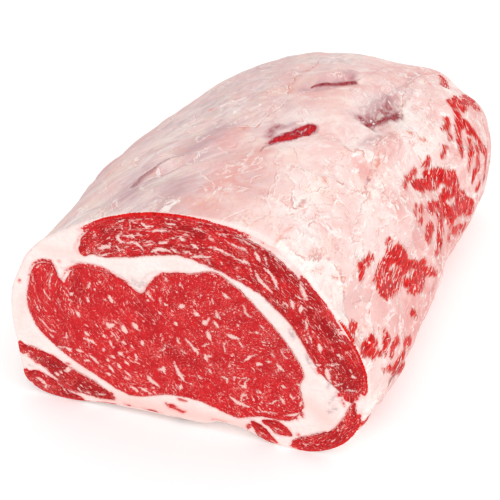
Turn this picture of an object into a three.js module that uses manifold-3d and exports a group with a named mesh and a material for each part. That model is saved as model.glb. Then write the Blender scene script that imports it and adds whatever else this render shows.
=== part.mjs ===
// Raw boneless beef rib roast, cut across at both ends.
// One thick cover of fat holds the lean muscles, which run from cut face to cut face.
// Millimetres, +Z up. X runs across the front cut face and Y runs from it to the back one.
// The roast lies on the flat of its underside, and the origin is at the middle of that footprint.

import * as THREE from 'three';
import { mergeVertices } from 'three/addons/utils/BufferGeometryUtils.js';
import Module from 'manifold-3d';

const wasm = await Module();
wasm.setup();

// ---- Driving sizes of the whole roast ----

const LENGTH = 284; // from the front cut face to the back one
const SECTION_CENTRE = { x: 13, z: 56 }; // the middle of a cut face, above its lowest point
const SKIN_RADIUS = 62; // the least distance of the sides and top from that middle
const FOOTPRINT_CENTRE = { x: 21.6, y: 142 }; // where the origin lies, from the front face's own zero
const FRONT_RIM = 1.4; // radius where the outside turns into the front cut face
const BACK_RIM = 6; // the same at the back, where the edge has slumped
const GAP = 0.3; // clearance between a muscle and the fat round it
const TUCK = 0.1; // how far the muscles draw in from the skin between the faces, as a share
const TUCK_RUN = 40; // the length over which they draw in behind each face
const MUSCLE_PROUD = 0.8; // how far a cut muscle swells out of its face
const MUSCLE_EDGE = 0.7; // the rounding at the edge of that swelling
const CHANNEL_OVERSHOOT = 1.6; // how far a muscle's channel is cut past each face
const WELD = 1e-5; // points closer than this are one

// How the section changes along the length, as values at the front, the middle and the back.
const DRIFT = [0, 8.7, 17.6]; // sideways shift of the section
const WIDTH = [1, 1.026, 0.97]; // its width, as a share of the front's
const HEIGHT = [1, 1.022, 0.872]; // its height, likewise

// ---- Facets ----

const SKIN_POINTS = 112; // even points round the outside, before the flat underside is thinned
const UNDERSIDE_SHARE = 2; // on the flat underside, one point in this many is kept
const UNDERSIDE_TOP = 0.6; // height below which a point belongs to the underside
const SKIN_STATIONS = 33; // rings along the outside, between its two rims
const RIM_STEPS = 3; // rings over each rim
const MUSCLE_STATIONS = 5; // rings along each muscle
const CURVE_SAMPLES = 1500; // fine samples that an outline is respaced from
const STRAP_STEPS = 4; // fine steps along a strap for each point of its middle line
const TIP_STEPS = 5; // points round the blunt tip of a strap

// ---- Sections at the front cut face: x and z of the points that a smooth curve runs through ----

const OUTSIDE = [
  [-61, 0], [-73, 3.2], [-78.3, 9.2], [-79.5, 19], [-80.5, 33], [-82.2, 48], [-80.2, 64], [-75, 77],
  [-70.5, 88.4], [-61, 99.2], [-42, 108.3], [-22, 116.7], [0, 122.3], [20, 124.2], [40, 123.8],
  [56, 120], [70, 112], [82, 98.5], [94.8, 81.8], [104.2, 66], [109, 51], [110.5, 38], [108, 26],
  [102, 13.5], [92.6, 4.4], [80, -0.8], [66, -1], [50, -1], [30, -1], [5, -1], [-20, -1], [-42, -1],
];

const EYE = [
  [-67, 79.5], [-63, 83.5], [-57.5, 84.5], [-51.3, 76], [-46, 83.5], [-35, 86.4], [-19, 83], [-7.3, 77],
  [-1.5, 84.5], [8, 90], [21, 93], [31, 96], [43, 89.5], [60, 73], [73, 56.5], [77, 46.5], [75.3, 40],
  [77.2, 27], [70, 17.2], [55, 16.4], [42, 12.4], [24, 17.4], [6, 17.9], [-16, 12.3], [-38, 22], [-58, 34.5],
  [-69, 48], [-71, 62],
];

// A strap is a bent band of lean: x, z and half its thickness along its middle line.
const STRAPS = {
  cap_muscle: [
    [-38, 96.2, 3], [-33.5, 99.6, 6], [-25, 102.7, 8.8], [-14, 106.2, 10.2], [0, 110, 10.5],
    [14, 111.7, 9.9], [27, 110.3, 10.5], [39, 107.4, 11.4], [50, 103.6, 11.8], [60.3, 97.8, 11],
    [70.2, 88.8, 10.3], [78, 80.3, 9.8], [84.9, 69.6, 9.8], [91.8, 59.9, 10.5], [97, 51.7, 9.3],
    [99.8, 44.5, 6.6], [100.3, 38.6, 2.4],
  ],
  tail_muscle: [
    [102.8, 35.8, 0.8], [102.1, 31, 2.1], [100.8, 25.2, 2.9], [98.1, 19.2, 3.3], [94, 13.3, 3.7],
    [88.5, 9.7, 3.9], [82.8, 7, 3.9], [77.3, 5.6, 3.2], [73.4, 4.8, 1.2],
  ],
  back_strap_upper: [
    [-77, 28.6, 1.2], [-73, 27.6, 2.9], [-67.5, 24.8, 4.3], [-62, 21.8, 4.9], [-56, 18.2, 5.9],
    [-49, 14.4, 6.3], [-41, 12, 5.8], [-33, 9.7, 3.9], [-26.5, 7.6, 1.5],
  ],
  back_strap_lower: [
    [-75.4, 11.4, 1.1], [-71.5, 11.4, 3.4], [-66.5, 9.4, 4.3], [-61, 7.2, 4], [-56, 5, 2.6],
    [-50.5, 3.6, 1.6], [-46, 2.9, 0.9],
  ],
  rib_finger_inner: [[57, 13.5, 0.8], [60.8, 12.8, 2.1], [65, 11, 3.2], [69, 9.4, 2.1], [71.2, 8.7, 0.8]],
  rib_finger_outer: [[51, 11.2, 0.8], [53.4, 8.9, 2.2], [56.2, 6.6, 2.7], [59.2, 4.9, 1.9], [61.8, 3.7, 0.8]],
};

const POINTS_ROUND = {
  eye_muscle: 78,
  cap_muscle: 56,
  tail_muscle: 30,
  back_strap_upper: 32,
  back_strap_lower: 24,
  rib_finger_inner: 16,
  rib_finger_outer: 14,
};

// ---- Relief of the outside ----
// Each form lies along a line from one place to another, each given by its distance behind the front face
// and its angle round the section, 0 at +X and 90 at the top. It rises or sinks by `rise` along that line
// and fades out over `reach` on both sides of it.

// Broad forms, which the muscles below follow.
const SWELLS = {
  far_shoulder: { from: [240, 14], to: [280, 22], reach: 30, rise: 10 },
  far_slope: { from: [262, 62], to: [292, 48], reach: 26, rise: -6 },
  far_crown: { from: [288, 100], to: [288, 70], reach: 22, rise: -4.5 },
  side_fall: { from: [160, -18], to: [245, -20], reach: 22, rise: -5 },
  left_swell: { from: [84, 132], to: [215, 125], reach: 24, rise: 1.5 },
  near_corner: { from: [8, 152], to: [50, 152], reach: 16, rise: -3.6 },
  near_slope: { from: [26, 140], to: [46, 130], reach: 16, rise: -1.8 },
  far_left: { from: [206, 136], to: [252, 126], reach: 18, rise: 2.6 },
  far_notch: { from: [286, 24], to: [272, 29], reach: 11, rise: -4.8 },
  far_side: { from: [262, -22], to: [284, -8], reach: 18, rise: -5 },
};

// Narrow forms of the fat alone: valleys, folds, rolls and the hollows where lean shows.
const FOLDS = {
  front_arch: { from: [0, -128], to: [0, -84], reach: 13, rise: -4.8 },
  front_notch: { from: [0, -67], to: [0, -58], reach: 8, rise: -8 },
  long_valley: { from: [26, 134], to: [72, 91], reach: 8, rise: -3 },
  valley_lip: { from: [20, 108], to: [50, 88], reach: 13, rise: 1.6 },
  seam_ridge: { from: [95, 93], to: [262, 112], reach: 6, rise: 1.8 },
  window: { from: [84, 76], to: [104, 70], reach: 7, rise: -2.6 },
  slit: { from: [165, 83], to: [192, 68], reach: 5, rise: -3 },
  slit_fold: { from: [176, 90], to: [202, 75], reach: 8, rise: 2.2 },
  lilac_hollow: { from: [140, 52], to: [262, 39], reach: 10, rise: -3.4 },
  dark_hollow: { from: [145, 49], to: [174, 43], reach: 6, rise: -2.2 },
  fat_roll: { from: [106, 46], to: [166, 36], reach: 6, rise: 3.6 },
  far_lean: { from: [206, 26], to: [232, 12], reach: 14, rise: -1.6 },
  middle_lean: { from: [140, 24], to: [184, 4], reach: 15, rise: -2.6 },
  near_lean: { from: [56, 13], to: [96, 2], reach: 12, rise: -2.2 },
  lean_divide: { from: [96, 24], to: [112, 2], reach: 7, rise: 2 },
  grey_hollow: { from: [14, 17], to: [32, 17], reach: 6, rise: -2.2 },
  plate_edge: { from: [14, 51], to: [36, 50], reach: 5, rise: 1.3 },
  side_bulge: { from: [186, -14], to: [204, -11], reach: 12, rise: 2.2 },
  near_bulge: { from: [46, -15], to: [64, -13], reach: 10, rise: 1.8 },
};

// ---- Curves and sections ----

/** A value that is front, middle and back at t = 0, 1/2 and 1, and runs smoothly between. */
function along([front, middle, back], t) {
  return front * (1 - t) * (1 - 2 * t) + 4 * middle * t * (1 - t) + back * t * (2 * t - 1);
}

/** A smooth curve through points of the section, whose y carries their third value if they have one. */
function smoothCurve(points, closed) {
  const corners = points.map(([x, z, half = 0]) => new THREE.Vector3(x, half, z));
  const curve = new THREE.CatmullRomCurve3(corners, closed, 'catmullrom');
  curve.arcLengthDivisions = CURVE_SAMPLES;
  return curve;
}

/** Points spaced evenly along a smooth closed curve through the given ones, anticlockwise. */
function outlineThrough(points, count) {
  const spaced = smoothCurve(points, true).getSpacedPoints(count).slice(0, count);
  const outline = spaced.map((p) => new THREE.Vector2(p.x, p.z));
  return THREE.ShapeUtils.isClockWise(outline) ? outline.reverse() : outline;
}

/** The even outline of a strap, from its middle line and half thicknesses. */
function strapOutline(line, count) {
  const middle = smoothCurve(line, false);
  const steps = STRAP_STEPS * line.length;
  const edges = [];
  for (let i = 0; i <= steps; i++) {
    const { x, y: half, z } = middle.getPoint(i / steps);
    const tangent = middle.getTangent(i / steps);
    const forward = new THREE.Vector2(tangent.x, tangent.z).normalize();
    const side = new THREE.Vector2(-forward.y, forward.x);
    edges.push({ centre: new THREE.Vector2(x, z), forward, side, half });
  }
  const at = ({ centre, forward, side, half }, turn) => centre.clone()
    .addScaledVector(side, half * Math.cos(turn))
    .addScaledVector(forward, half * Math.sin(turn));
  const tipTurns = Array.from({ length: TIP_STEPS }, (_, k) => (Math.PI * (k + 1)) / (TIP_STEPS + 1));
  const loop = [
    ...edges.map((edge) => at(edge, 0)),
    ...tipTurns.map((turn) => at(edges[steps], turn)),
    ...edges.map((edge) => at(edge, Math.PI)).reverse(),
    ...tipTurns.map((turn) => at(edges[0], Math.PI + turn)),
  ];
  return outlineThrough(loop.map((p) => [p.x, p.y]), count);
}

/** The outline drawn in by a distance along its own normals. */
function drawnIn(outline, distance) {
  return outline.map((p, i) => {
    const before = outline[(i + outline.length - 1) % outline.length];
    const after = outline[(i + 1) % outline.length];
    const inward = new THREE.Vector2(before.y - after.y, after.x - before.x).normalize();
    return p.clone().addScaledVector(inward, distance);
  });
}

/** Where a point of the front section lies at a distance y behind the face. */
function placed(p, y) {
  const t = y / LENGTH;
  return new THREE.Vector3(
    SECTION_CENTRE.x + along(DRIFT, t) + (p.x - SECTION_CENTRE.x) * along(WIDTH, t),
    y,
    p.y * along(HEIGHT, t),
  );
}

/** The middle of the section at a distance y behind the face. */
function sectionMiddle(y) {
  return new THREE.Vector3(SECTION_CENTRE.x + along(DRIFT, y / LENGTH), y, SECTION_CENTRE.z);
}

/** How far some forms of relief move the outside at a point, outwards from the section's middle. */
function reliefAt(forms, y, angle, radius) {
  const arc = (degrees) => THREE.MathUtils.degToRad(degrees) * radius;
  let total = 0;
  for (const { from, to, reach, rise } of Object.values(forms)) {
    const start = new THREE.Vector2(from[0], arc(from[1]));
    const run = new THREE.Vector2(to[0], arc(to[1])).sub(start);
    const offset = new THREE.Vector2(y, arc(angle)).sub(start);
    const share = THREE.MathUtils.clamp(offset.dot(run) / run.lengthSq(), 0, 1);
    const distance = offset.addScaledVector(run, -share).length();
    total += rise * Math.exp(-((distance / reach) ** 2));
  }
  return total;
}

/** A point moved out from the section's middle by a relief, by all of it at the skin and less deeper in. */
function raised(p, forms) {
  const out = p.clone().sub(sectionMiddle(p.y));
  const radius = out.length();
  const angle = THREE.MathUtils.radToDeg(Math.atan2(out.z, out.x));
  const share = Math.min((radius / SKIN_RADIUS) ** 2, 1);
  return p.clone().addScaledVector(out.normalize(), share * reliefAt(forms, p.y, angle, radius));
}

/** One ring of the outside: the section at y, with its relief, and its underside flat on the table. */
function skinRing(outline, y) {
  return outline.map((p) => {
    const q = raised(placed(p, y), { ...SWELLS, ...FOLDS });
    return q.setZ(Math.max(q.z, 0));
  });
}

// ---- Solids ----

/** A closed solid over rings of points that follow each other along the length. */
function loft(rings) {
  const count = rings[0].length;
  const index = [];
  for (let r = 0; r + 1 < rings.length; r++) {
    for (let i = 0; i < count; i++) {
      const j = (i + 1) % count;
      const [a, b, c, d] = [r * count + i, r * count + j, (r + 1) * count + j, (r + 1) * count + i];
      index.push(a, c, b, a, d, c);
    }
  }
  const flat = (ring) => ring.map((p) => new THREE.Vector2(p.x, p.z));
  const faceOf = (ring) => THREE.ShapeUtils.triangulateShape(flat(ring), []);
  const last = (rings.length - 1) * count;
  for (const [a, b, c] of faceOf(rings[0])) index.push(a, b, c);
  for (const [a, b, c] of faceOf(rings[rings.length - 1])) index.push(last + a, last + c, last + b);
  const geometry = new THREE.BufferGeometry().setFromPoints(rings.flat());
  geometry.setIndex(index);
  return geometry;
}

/** The outside of the roast. */
function skinGeometry() {
  const outline = outlineThrough(OUTSIDE, SKIN_POINTS)
    .filter((p, i) => p.y > UNDERSIDE_TOP || i % UNDERSIDE_SHARE === 0);
  const rings = [];
  for (let k = 0; k < RIM_STEPS; k++) {
    const turn = (k / RIM_STEPS) * (Math.PI / 2);
    const inset = FRONT_RIM * (1 - Math.sin(turn));
    rings.push(skinRing(drawnIn(outline, inset), FRONT_RIM * (1 - Math.cos(turn))));
  }
  const straight = LENGTH - FRONT_RIM - BACK_RIM;
  for (let k = 0; k <= SKIN_STATIONS; k++) {
    rings.push(skinRing(outline, FRONT_RIM + straight * (k / SKIN_STATIONS)));
  }
  for (let k = 1; k <= RIM_STEPS; k++) {
    const turn = (k / RIM_STEPS) * (Math.PI / 2);
    const inset = BACK_RIM * (1 - Math.cos(turn));
    rings.push(skinRing(drawnIn(outline, inset), LENGTH - BACK_RIM * (1 - Math.sin(turn))));
  }
  return loft(rings);
}

/** A muscle's section, drawn towards the roast's middle where it lies deeper behind the faces. */
function tucked(outline, y) {
  const depth = Math.min(y, LENGTH - y) / TUCK_RUN;
  const share = 1 - TUCK * THREE.MathUtils.smoothstep(depth, 0, 1);
  const backShare = 1 - (BACK_RIM / SECTION_CENTRE.z) * THREE.MathUtils.smoothstep(y, LENGTH / 2, LENGTH);
  const middle = new THREE.Vector2(SECTION_CENTRE.x, SECTION_CENTRE.z);
  return outline.map((p) => p.clone().sub(middle).multiplyScalar(Math.min(share, backShare)).add(middle));
}

/** A muscle from face to face, grown by `extra` all round for the channel that it lies in. */
function muscleGeometry(outline, extra) {
  const grown = drawnIn(outline, -extra);
  const rings = [];
  const ring = (section, y, at) => tucked(section, y).map((p) => raised(placed(p, y), SWELLS).setY(at));
  if (extra > 0) {
    rings.push(ring(grown, 0, -CHANNEL_OVERSHOOT));
  } else {
    rings.push(ring(drawnIn(grown, MUSCLE_EDGE), 0, -MUSCLE_PROUD));
  }
  for (let k = 0; k < MUSCLE_STATIONS; k++) {
    const y = LENGTH * (0.5 - 0.5 * Math.cos((Math.PI * k) / (MUSCLE_STATIONS - 1)));
    rings.push(ring(grown, y, y));
  }
  if (extra > 0) {
    rings.push(ring(grown, LENGTH, LENGTH + CHANNEL_OVERSHOOT));
  } else {
    rings.push(ring(drawnIn(grown, MUSCLE_EDGE), LENGTH, LENGTH + MUSCLE_PROUD));
  }
  return loft(rings);
}

/** The geometry as a solid that can be cut. */
function toSolid(geometry) {
  geometry.deleteAttribute('normal');
  geometry.deleteAttribute('uv');
  const merged = mergeVertices(geometry, WELD);
  return new wasm.Manifold(new wasm.Mesh({
    numProp: 3,
    vertProperties: Float32Array.from(merged.attributes.position.array),
    triVerts: Uint32Array.from(merged.index.array),
  }));
}

/** A cut solid as geometry again. */
function fromSolid(solid) {
  const { vertProperties, triVerts } = solid.getMesh();
  const geometry = new THREE.BufferGeometry();
  geometry.setAttribute('position', new THREE.BufferAttribute(Float32Array.from(vertProperties), 3));
  geometry.setIndex(Array.from(triVerts));
  return geometry;
}

// ---- The roast ----

const FINISH = {
  fat: { color: 0xf3dfdb, roughness: 0.5, metalness: 0 },
  eye: { color: 0xc3242e, roughness: 0.42, metalness: 0 },
  cap: { color: 0xa81c26, roughness: 0.42, metalness: 0 },
  strap: { color: 0x9c1822, roughness: 0.42, metalness: 0 },
};

const FINISH_OF = {
  eye_muscle: 'eye',
  cap_muscle: 'cap',
  tail_muscle: 'cap',
  back_strap_upper: 'strap',
  back_strap_lower: 'strap',
  rib_finger_inner: 'strap',
  rib_finger_outer: 'strap',
};

const roast = new THREE.Group();
roast.position.set(-FOOTPRINT_CENTRE.x, -FOOTPRINT_CENTRE.y, 0);

/** Adds one named piece to the roast. */
function addPiece(name, geometry, finish) {
  const mesh = new THREE.Mesh(geometry, new THREE.MeshStandardMaterial(FINISH[finish]));
  mesh.name = name;
  roast.add(mesh);
}

const outlines = { eye_muscle: outlineThrough(EYE, POINTS_ROUND.eye_muscle) };
for (const [name, line] of Object.entries(STRAPS)) outlines[name] = strapOutline(line, POINTS_ROUND[name]);

let cover = toSolid(skinGeometry());
for (const [name, outline] of Object.entries(outlines)) {
  cover = cover.subtract(toSolid(muscleGeometry(outline, GAP)));
  addPiece(name, muscleGeometry(outline, 0), FINISH_OF[name]);
}
addPiece('fat_cover', fromSolid(cover), 'fat');

export default roast;
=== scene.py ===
"""Raw boneless beef rib roast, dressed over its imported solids.

Shapes are worked out in millimetres in the roast's own frame: x runs across the front cut face, y from that face to
the back one, and z up from the table. A place on the outside is also given by its distance behind the front face, its
angle round the section, 0 at +x and 90 at the top, and its distance from the section's middle, and Places are three
arrays of these. Meshes are turned into metres as they are made. FAR_OUT is the distance in mm inside a form that is
noted where none is near.
"""
import logging
import math
from dataclasses import dataclass, field
from enum import Enum
from functools import reduce
from typing import Optional, Sequence, Union

import bpy
import numpy as np
from bpy.types import ID, Material, Node, NodeSocket, NodeTree, Object
from mathutils import Matrix, Vector
from mathutils.geometry import delaunay_2d_cdt


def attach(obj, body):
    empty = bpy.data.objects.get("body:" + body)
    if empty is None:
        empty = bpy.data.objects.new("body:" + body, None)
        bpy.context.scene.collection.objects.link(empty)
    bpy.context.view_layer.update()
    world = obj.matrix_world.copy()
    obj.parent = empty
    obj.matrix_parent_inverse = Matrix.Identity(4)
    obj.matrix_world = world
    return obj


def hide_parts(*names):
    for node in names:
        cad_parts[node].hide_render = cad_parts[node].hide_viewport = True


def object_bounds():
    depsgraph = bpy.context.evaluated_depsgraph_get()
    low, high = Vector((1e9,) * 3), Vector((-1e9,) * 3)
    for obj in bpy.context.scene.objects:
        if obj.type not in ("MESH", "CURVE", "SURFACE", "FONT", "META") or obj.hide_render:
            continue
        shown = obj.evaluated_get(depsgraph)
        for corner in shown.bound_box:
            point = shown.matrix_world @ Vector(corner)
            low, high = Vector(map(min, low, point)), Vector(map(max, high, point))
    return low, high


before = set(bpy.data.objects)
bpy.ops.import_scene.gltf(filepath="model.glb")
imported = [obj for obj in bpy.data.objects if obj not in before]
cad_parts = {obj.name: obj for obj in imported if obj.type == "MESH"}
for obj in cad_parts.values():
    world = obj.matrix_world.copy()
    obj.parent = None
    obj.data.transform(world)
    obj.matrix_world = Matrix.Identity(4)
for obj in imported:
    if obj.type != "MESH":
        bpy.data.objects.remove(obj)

CAD_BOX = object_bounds()
LOG = logging.getLogger("rib_roast")
MM = 0.001
BODY = "root"

Array = np.ndarray
Number = Union[float, Array]
Pairs = Sequence[tuple[float, float]]
Colour = tuple[int, int, int]
Socket = Union[NodeSocket, float, tuple]
Places = tuple[Array, Array, Array]
Triple = tuple[float, float, float]

FAR_OUT = -6.0


# ---------------------------------------------------------------- numbers and curves

def smoothstep(value: Number, low: float, high: float) -> Number:
    """0 below low, 1 above high and a smooth rise between."""
    t = np.clip((value - low) / (high - low), 0.0, 1.0)
    return t * t * (3.0 - 2.0 * t)


def lattice(corner: Array, seed: int) -> Array:
    """A fixed random number from -1 to 1 for each whole-numbered lattice corner.

    Args:
        corner: whole numbers, three in the last axis.
        seed: picks the set of random numbers.

    Returns:
        One number for each corner.
    """
    mixed = corner[..., 0] * 73856093 ^ corner[..., 1] * 19349663 ^ corner[..., 2] * 83492791 ^ seed * 2654435761
    mixed = mixed & 0xFFFFFFFF
    mixed = ((mixed ^ (mixed >> 15)) * 2246822519) & 0xFFFFFFFF
    mixed = ((mixed ^ (mixed >> 13)) * 3266489917) & 0xFFFFFFFF
    mixed = mixed ^ (mixed >> 16)
    return mixed / float(0x7FFFFFFF) - 1.0


def noise(points: Array, size: float, seed: int, octaves: int = 3) -> Array:
    """Smooth random values from about -1 to 1 over points in space.

    Args:
        points: places, three numbers in the last axis.
        size: width of the largest lumps, in the points' unit.
        seed: picks the pattern.
        octaves: layers of detail, each half the size of the last.

    Returns:
        One value for each point.
    """
    total = np.zeros(points.shape[:-1])
    weight_sum = 0.0
    for octave in range(octaves):
        scaled = points * (2.0 ** octave / size)
        base = np.floor(scaled)
        share = scaled - base
        share = share * share * (3.0 - 2.0 * share)
        base = base.astype(np.int64)
        layer = np.zeros_like(total)
        for corner in np.ndindex(2, 2, 2):
            reach = np.array(corner)
            weight = np.prod(np.where(reach, share, 1.0 - share), axis=-1)
            layer += weight * lattice(base + reach, seed + 17 * octave)
        weight = 0.5 ** octave
        total += weight * layer
        weight_sum += weight
    return total * (1.6 / weight_sum)


def through(points: Array, samples: int, closed: bool) -> Array:
    """Fine samples of the smooth curve that runs through some points.

    Args:
        points: one row for each point.
        samples: how many samples to return.
        closed: whether the curve comes back to its start.

    Returns:
        The samples, one row each.
    """
    points = np.asarray(points, float)
    spans = len(points) if closed else len(points) - 1
    t = np.linspace(0.0, spans, samples, endpoint=not closed)
    span = np.minimum(np.floor(t).astype(int), spans - 1)
    w = (t - span)[:, None]
    if closed:
        before, here, after, beyond = (points[(span + k) % len(points)] for k in (-1, 0, 1, 2))
    else:
        ends = np.vstack([2 * points[0] - points[1], points, 2 * points[-1] - points[-2]])
        before, here, after, beyond = (ends[span + k] for k in (0, 1, 2, 3))
    return 0.5 * (
        2 * here
        + (after - before) * w
        + (2 * before - 5 * here + 4 * after - beyond) * w ** 2
        + (3 * here - before - 3 * after + beyond) * w ** 3
    )


def respaced(loop: Array, count: int, density: Optional[Array] = None) -> Array:
    """A closed loop with its points spaced evenly, or by a wanted density.

    Args:
        loop: fine samples of the loop.
        count: how many points to return.
        density: how closely the points lie at each sample, as a share; evenly if left out.

    Returns:
        The new points, one row each.
    """
    shut = np.vstack([loop, loop[:1]])
    steps = np.linalg.norm(np.diff(shut, axis=0), axis=1)
    if density is not None:
        steps = steps * density
    run = np.concatenate([[0.0], np.cumsum(steps)])
    wanted = np.linspace(0.0, run[-1], count, endpoint=False)
    return np.stack([np.interp(wanted, run, shut[:, k]) for k in range(shut.shape[1])], axis=-1)


def anticlockwise(loop: Array) -> Array:
    """The loop, turned round if it runs clockwise."""
    ahead = np.roll(loop, -1, axis=0)
    area = np.sum(loop[:, 0] * ahead[:, 1] - ahead[:, 0] * loop[:, 1])
    return loop if area > 0 else loop[::-1]


def drawn_in(loop: Array, distance: Number) -> Array:
    """The anticlockwise loop moved inwards along its own normals.

    Args:
        loop: its points, one row each.
        distance: in mm, one for all points or one for each.

    Returns:
        The new points.
    """
    along = np.roll(loop, -1, axis=0) - np.roll(loop, 1, axis=0)
    inward = np.stack([-along[:, 1], along[:, 0]], axis=-1)
    return loop + np.asarray(distance)[..., None] * inward / np.linalg.norm(inward, axis=1, keepdims=True)


def inside(points: Array, loop: Array) -> Array:
    """Whether each point lies inside the loop."""
    x, z = points[:, 0], points[:, 1]
    within = np.zeros(len(points), bool)
    for (x0, z0), (x1, z1) in zip(loop, np.roll(loop, -1, axis=0)):
        if z0 != z1:
            crosses = (z0 > z) != (z1 > z)
            within ^= crosses & (x < (x1 - x0) * (z - z0) / (z1 - z0) + x0)
    return within


def near_line(x: Array, s: Array, corners: Sequence[tuple[Number, Number]]) -> tuple[Array, Array, Array]:
    """How far places lie from a bent line, and where along it.

    Args:
        x: first coordinate of the places.
        s: their second coordinate.
        corners: the line's corners, whose coordinates may differ from place to place.

    Returns:
        The distance, the share of the line passed, and the signed offset to the line's left.
    """
    best = np.full(x.shape, np.inf)
    passed = np.zeros_like(best)
    left = np.zeros_like(best)
    spans = len(corners) - 1
    for k in range(spans):
        (x0, s0), (x1, s1) = corners[k], corners[k + 1]
        run_x, run_s = x1 - x0, s1 - s0
        off_x, off_s = x - x0, s - s0
        square = run_x ** 2 + run_s ** 2 + 1e-9
        share = np.clip((off_x * run_x + off_s * run_s) / square, 0.0, 1.0)
        gap = np.hypot(off_x - share * run_x, off_s - share * run_s)
        nearer = gap < best
        best = np.where(nearer, gap, best)
        passed = np.where(nearer, (k + share) / spans, passed)
        left = np.where(nearer, (off_s * run_x - off_x * run_s) / np.sqrt(square), left)
    return best, passed, left


def lifted(section: Array, third: float = 0.0) -> Array:
    """Points of a section, with one value as their third number."""
    return np.column_stack([section, np.full(len(section), third)])


def soft_limit(value: Array, limit: float, margin: float) -> Array:
    """Values that near a limit smoothly from a margin below it, and never pass it."""
    over = np.maximum(value - (limit - margin), 0.0)
    return np.minimum(value, limit - margin) + margin * (1 - np.exp(-over / margin))


# ---------------------------------------------------------------- the roast's form

@dataclass(frozen=True)
class Form:
    """A rise, hollow, stain, painted shade, streak or patch along a bent line.

    Attributes:
        line: places on the outside, as distance behind the front face in mm and angle round the section in degrees,
            or x and z in mm on a cut face.
        reach: distance from the line at which the form has faded or ended, in mm.
        rise: height in mm, or strength.
        tail: the reach at the line's end, if it isn't the same.
    """

    line: Pairs
    reach: float
    rise: float = 1.0
    tail: Optional[float] = None

    def reach_at(self, passed: Array) -> Number:
        """The reach where a share of the line is passed."""
        return self.reach if self.tail is None else self.reach + (self.tail - self.reach) * passed

    def faded(self, gap: Array, passed: Array) -> Array:
        """The rise at a distance from the line, faded out over the reach."""
        return self.rise * np.exp(-(gap / self.reach_at(passed)) ** 2)

    def depth(self, gap: Array, passed: Array, taper: float = 0.0) -> Array:
        """How far inside the form a distance from the line is, where the form narrows by a taper to its ends."""
        return self.reach_at(passed) * (1 - taper * (2 * passed - 1) ** 2) - gap


def band(reach: Union[float, tuple[float, float]], *places: float, rise: float = 1.0) -> Form:
    """A form from its reach, or its reach at start and end, and the two numbers of each place on its line."""
    start, end = reach if isinstance(reach, tuple) else (reach, None)
    return Form(tuple(zip(places[::2], places[1::2])), start, rise, end)


def bands(*rows: Sequence) -> tuple[Form, ...]:
    """Forms of full strength, from rows of a reach and the places."""
    return tuple(band(*row) for row in rows)


def reliefs(*rows: Sequence) -> tuple[Form, ...]:
    """Forms from rows of a rise, a reach and the places."""
    return tuple(band(*row[1:], rise=row[0]) for row in rows)


SWELLS = reliefs(
    (10, 30, 240, 14, 280, 22), (-6, 26, 262, 62, 292, 48), (-4.5, 22, 288, 100, 288, 70),
    (-5, 22, 160, -18, 245, -20), (1.5, 24, 84, 132, 215, 125), (-3.6, 16, 8, 152, 50, 152),
    (-1.8, 16, 26, 140, 46, 130), (2.6, 18, 206, 136, 252, 126), (-4.8, 11, 286, 24, 272, 29),
    (-5, 18, 262, -22, 284, -8),
)

FOLDS = reliefs(
    (-4.8, 13, 0, -128, 0, -84), (-8, 8, 0, -67, 0, -58), (-3, 8, 26, 134, 72, 91), (1.6, 13, 20, 108, 50, 88),
    (1.8, 6, 95, 93, 262, 112), (-2.6, 7, 84, 76, 104, 70), (-3, 5, 165, 83, 192, 68), (2.2, 8, 176, 90, 202, 75),
    (-3.4, 10, 140, 52, 262, 39), (-2.2, 6, 145, 49, 174, 43), (3.6, 6, 106, 46, 166, 36),
    (-1.6, 14, 206, 26, 232, 12), (-2.6, 15, 140, 24, 184, 4), (-2.2, 12, 56, 13, 96, 2), (2, 7, 96, 24, 112, 2),
    (-2.2, 6, 14, 17, 32, 17), (1.3, 5, 14, 51, 36, 50), (2.2, 12, 186, -14, 204, -11), (1.8, 10, 46, -15, 64, -13),
)


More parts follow.
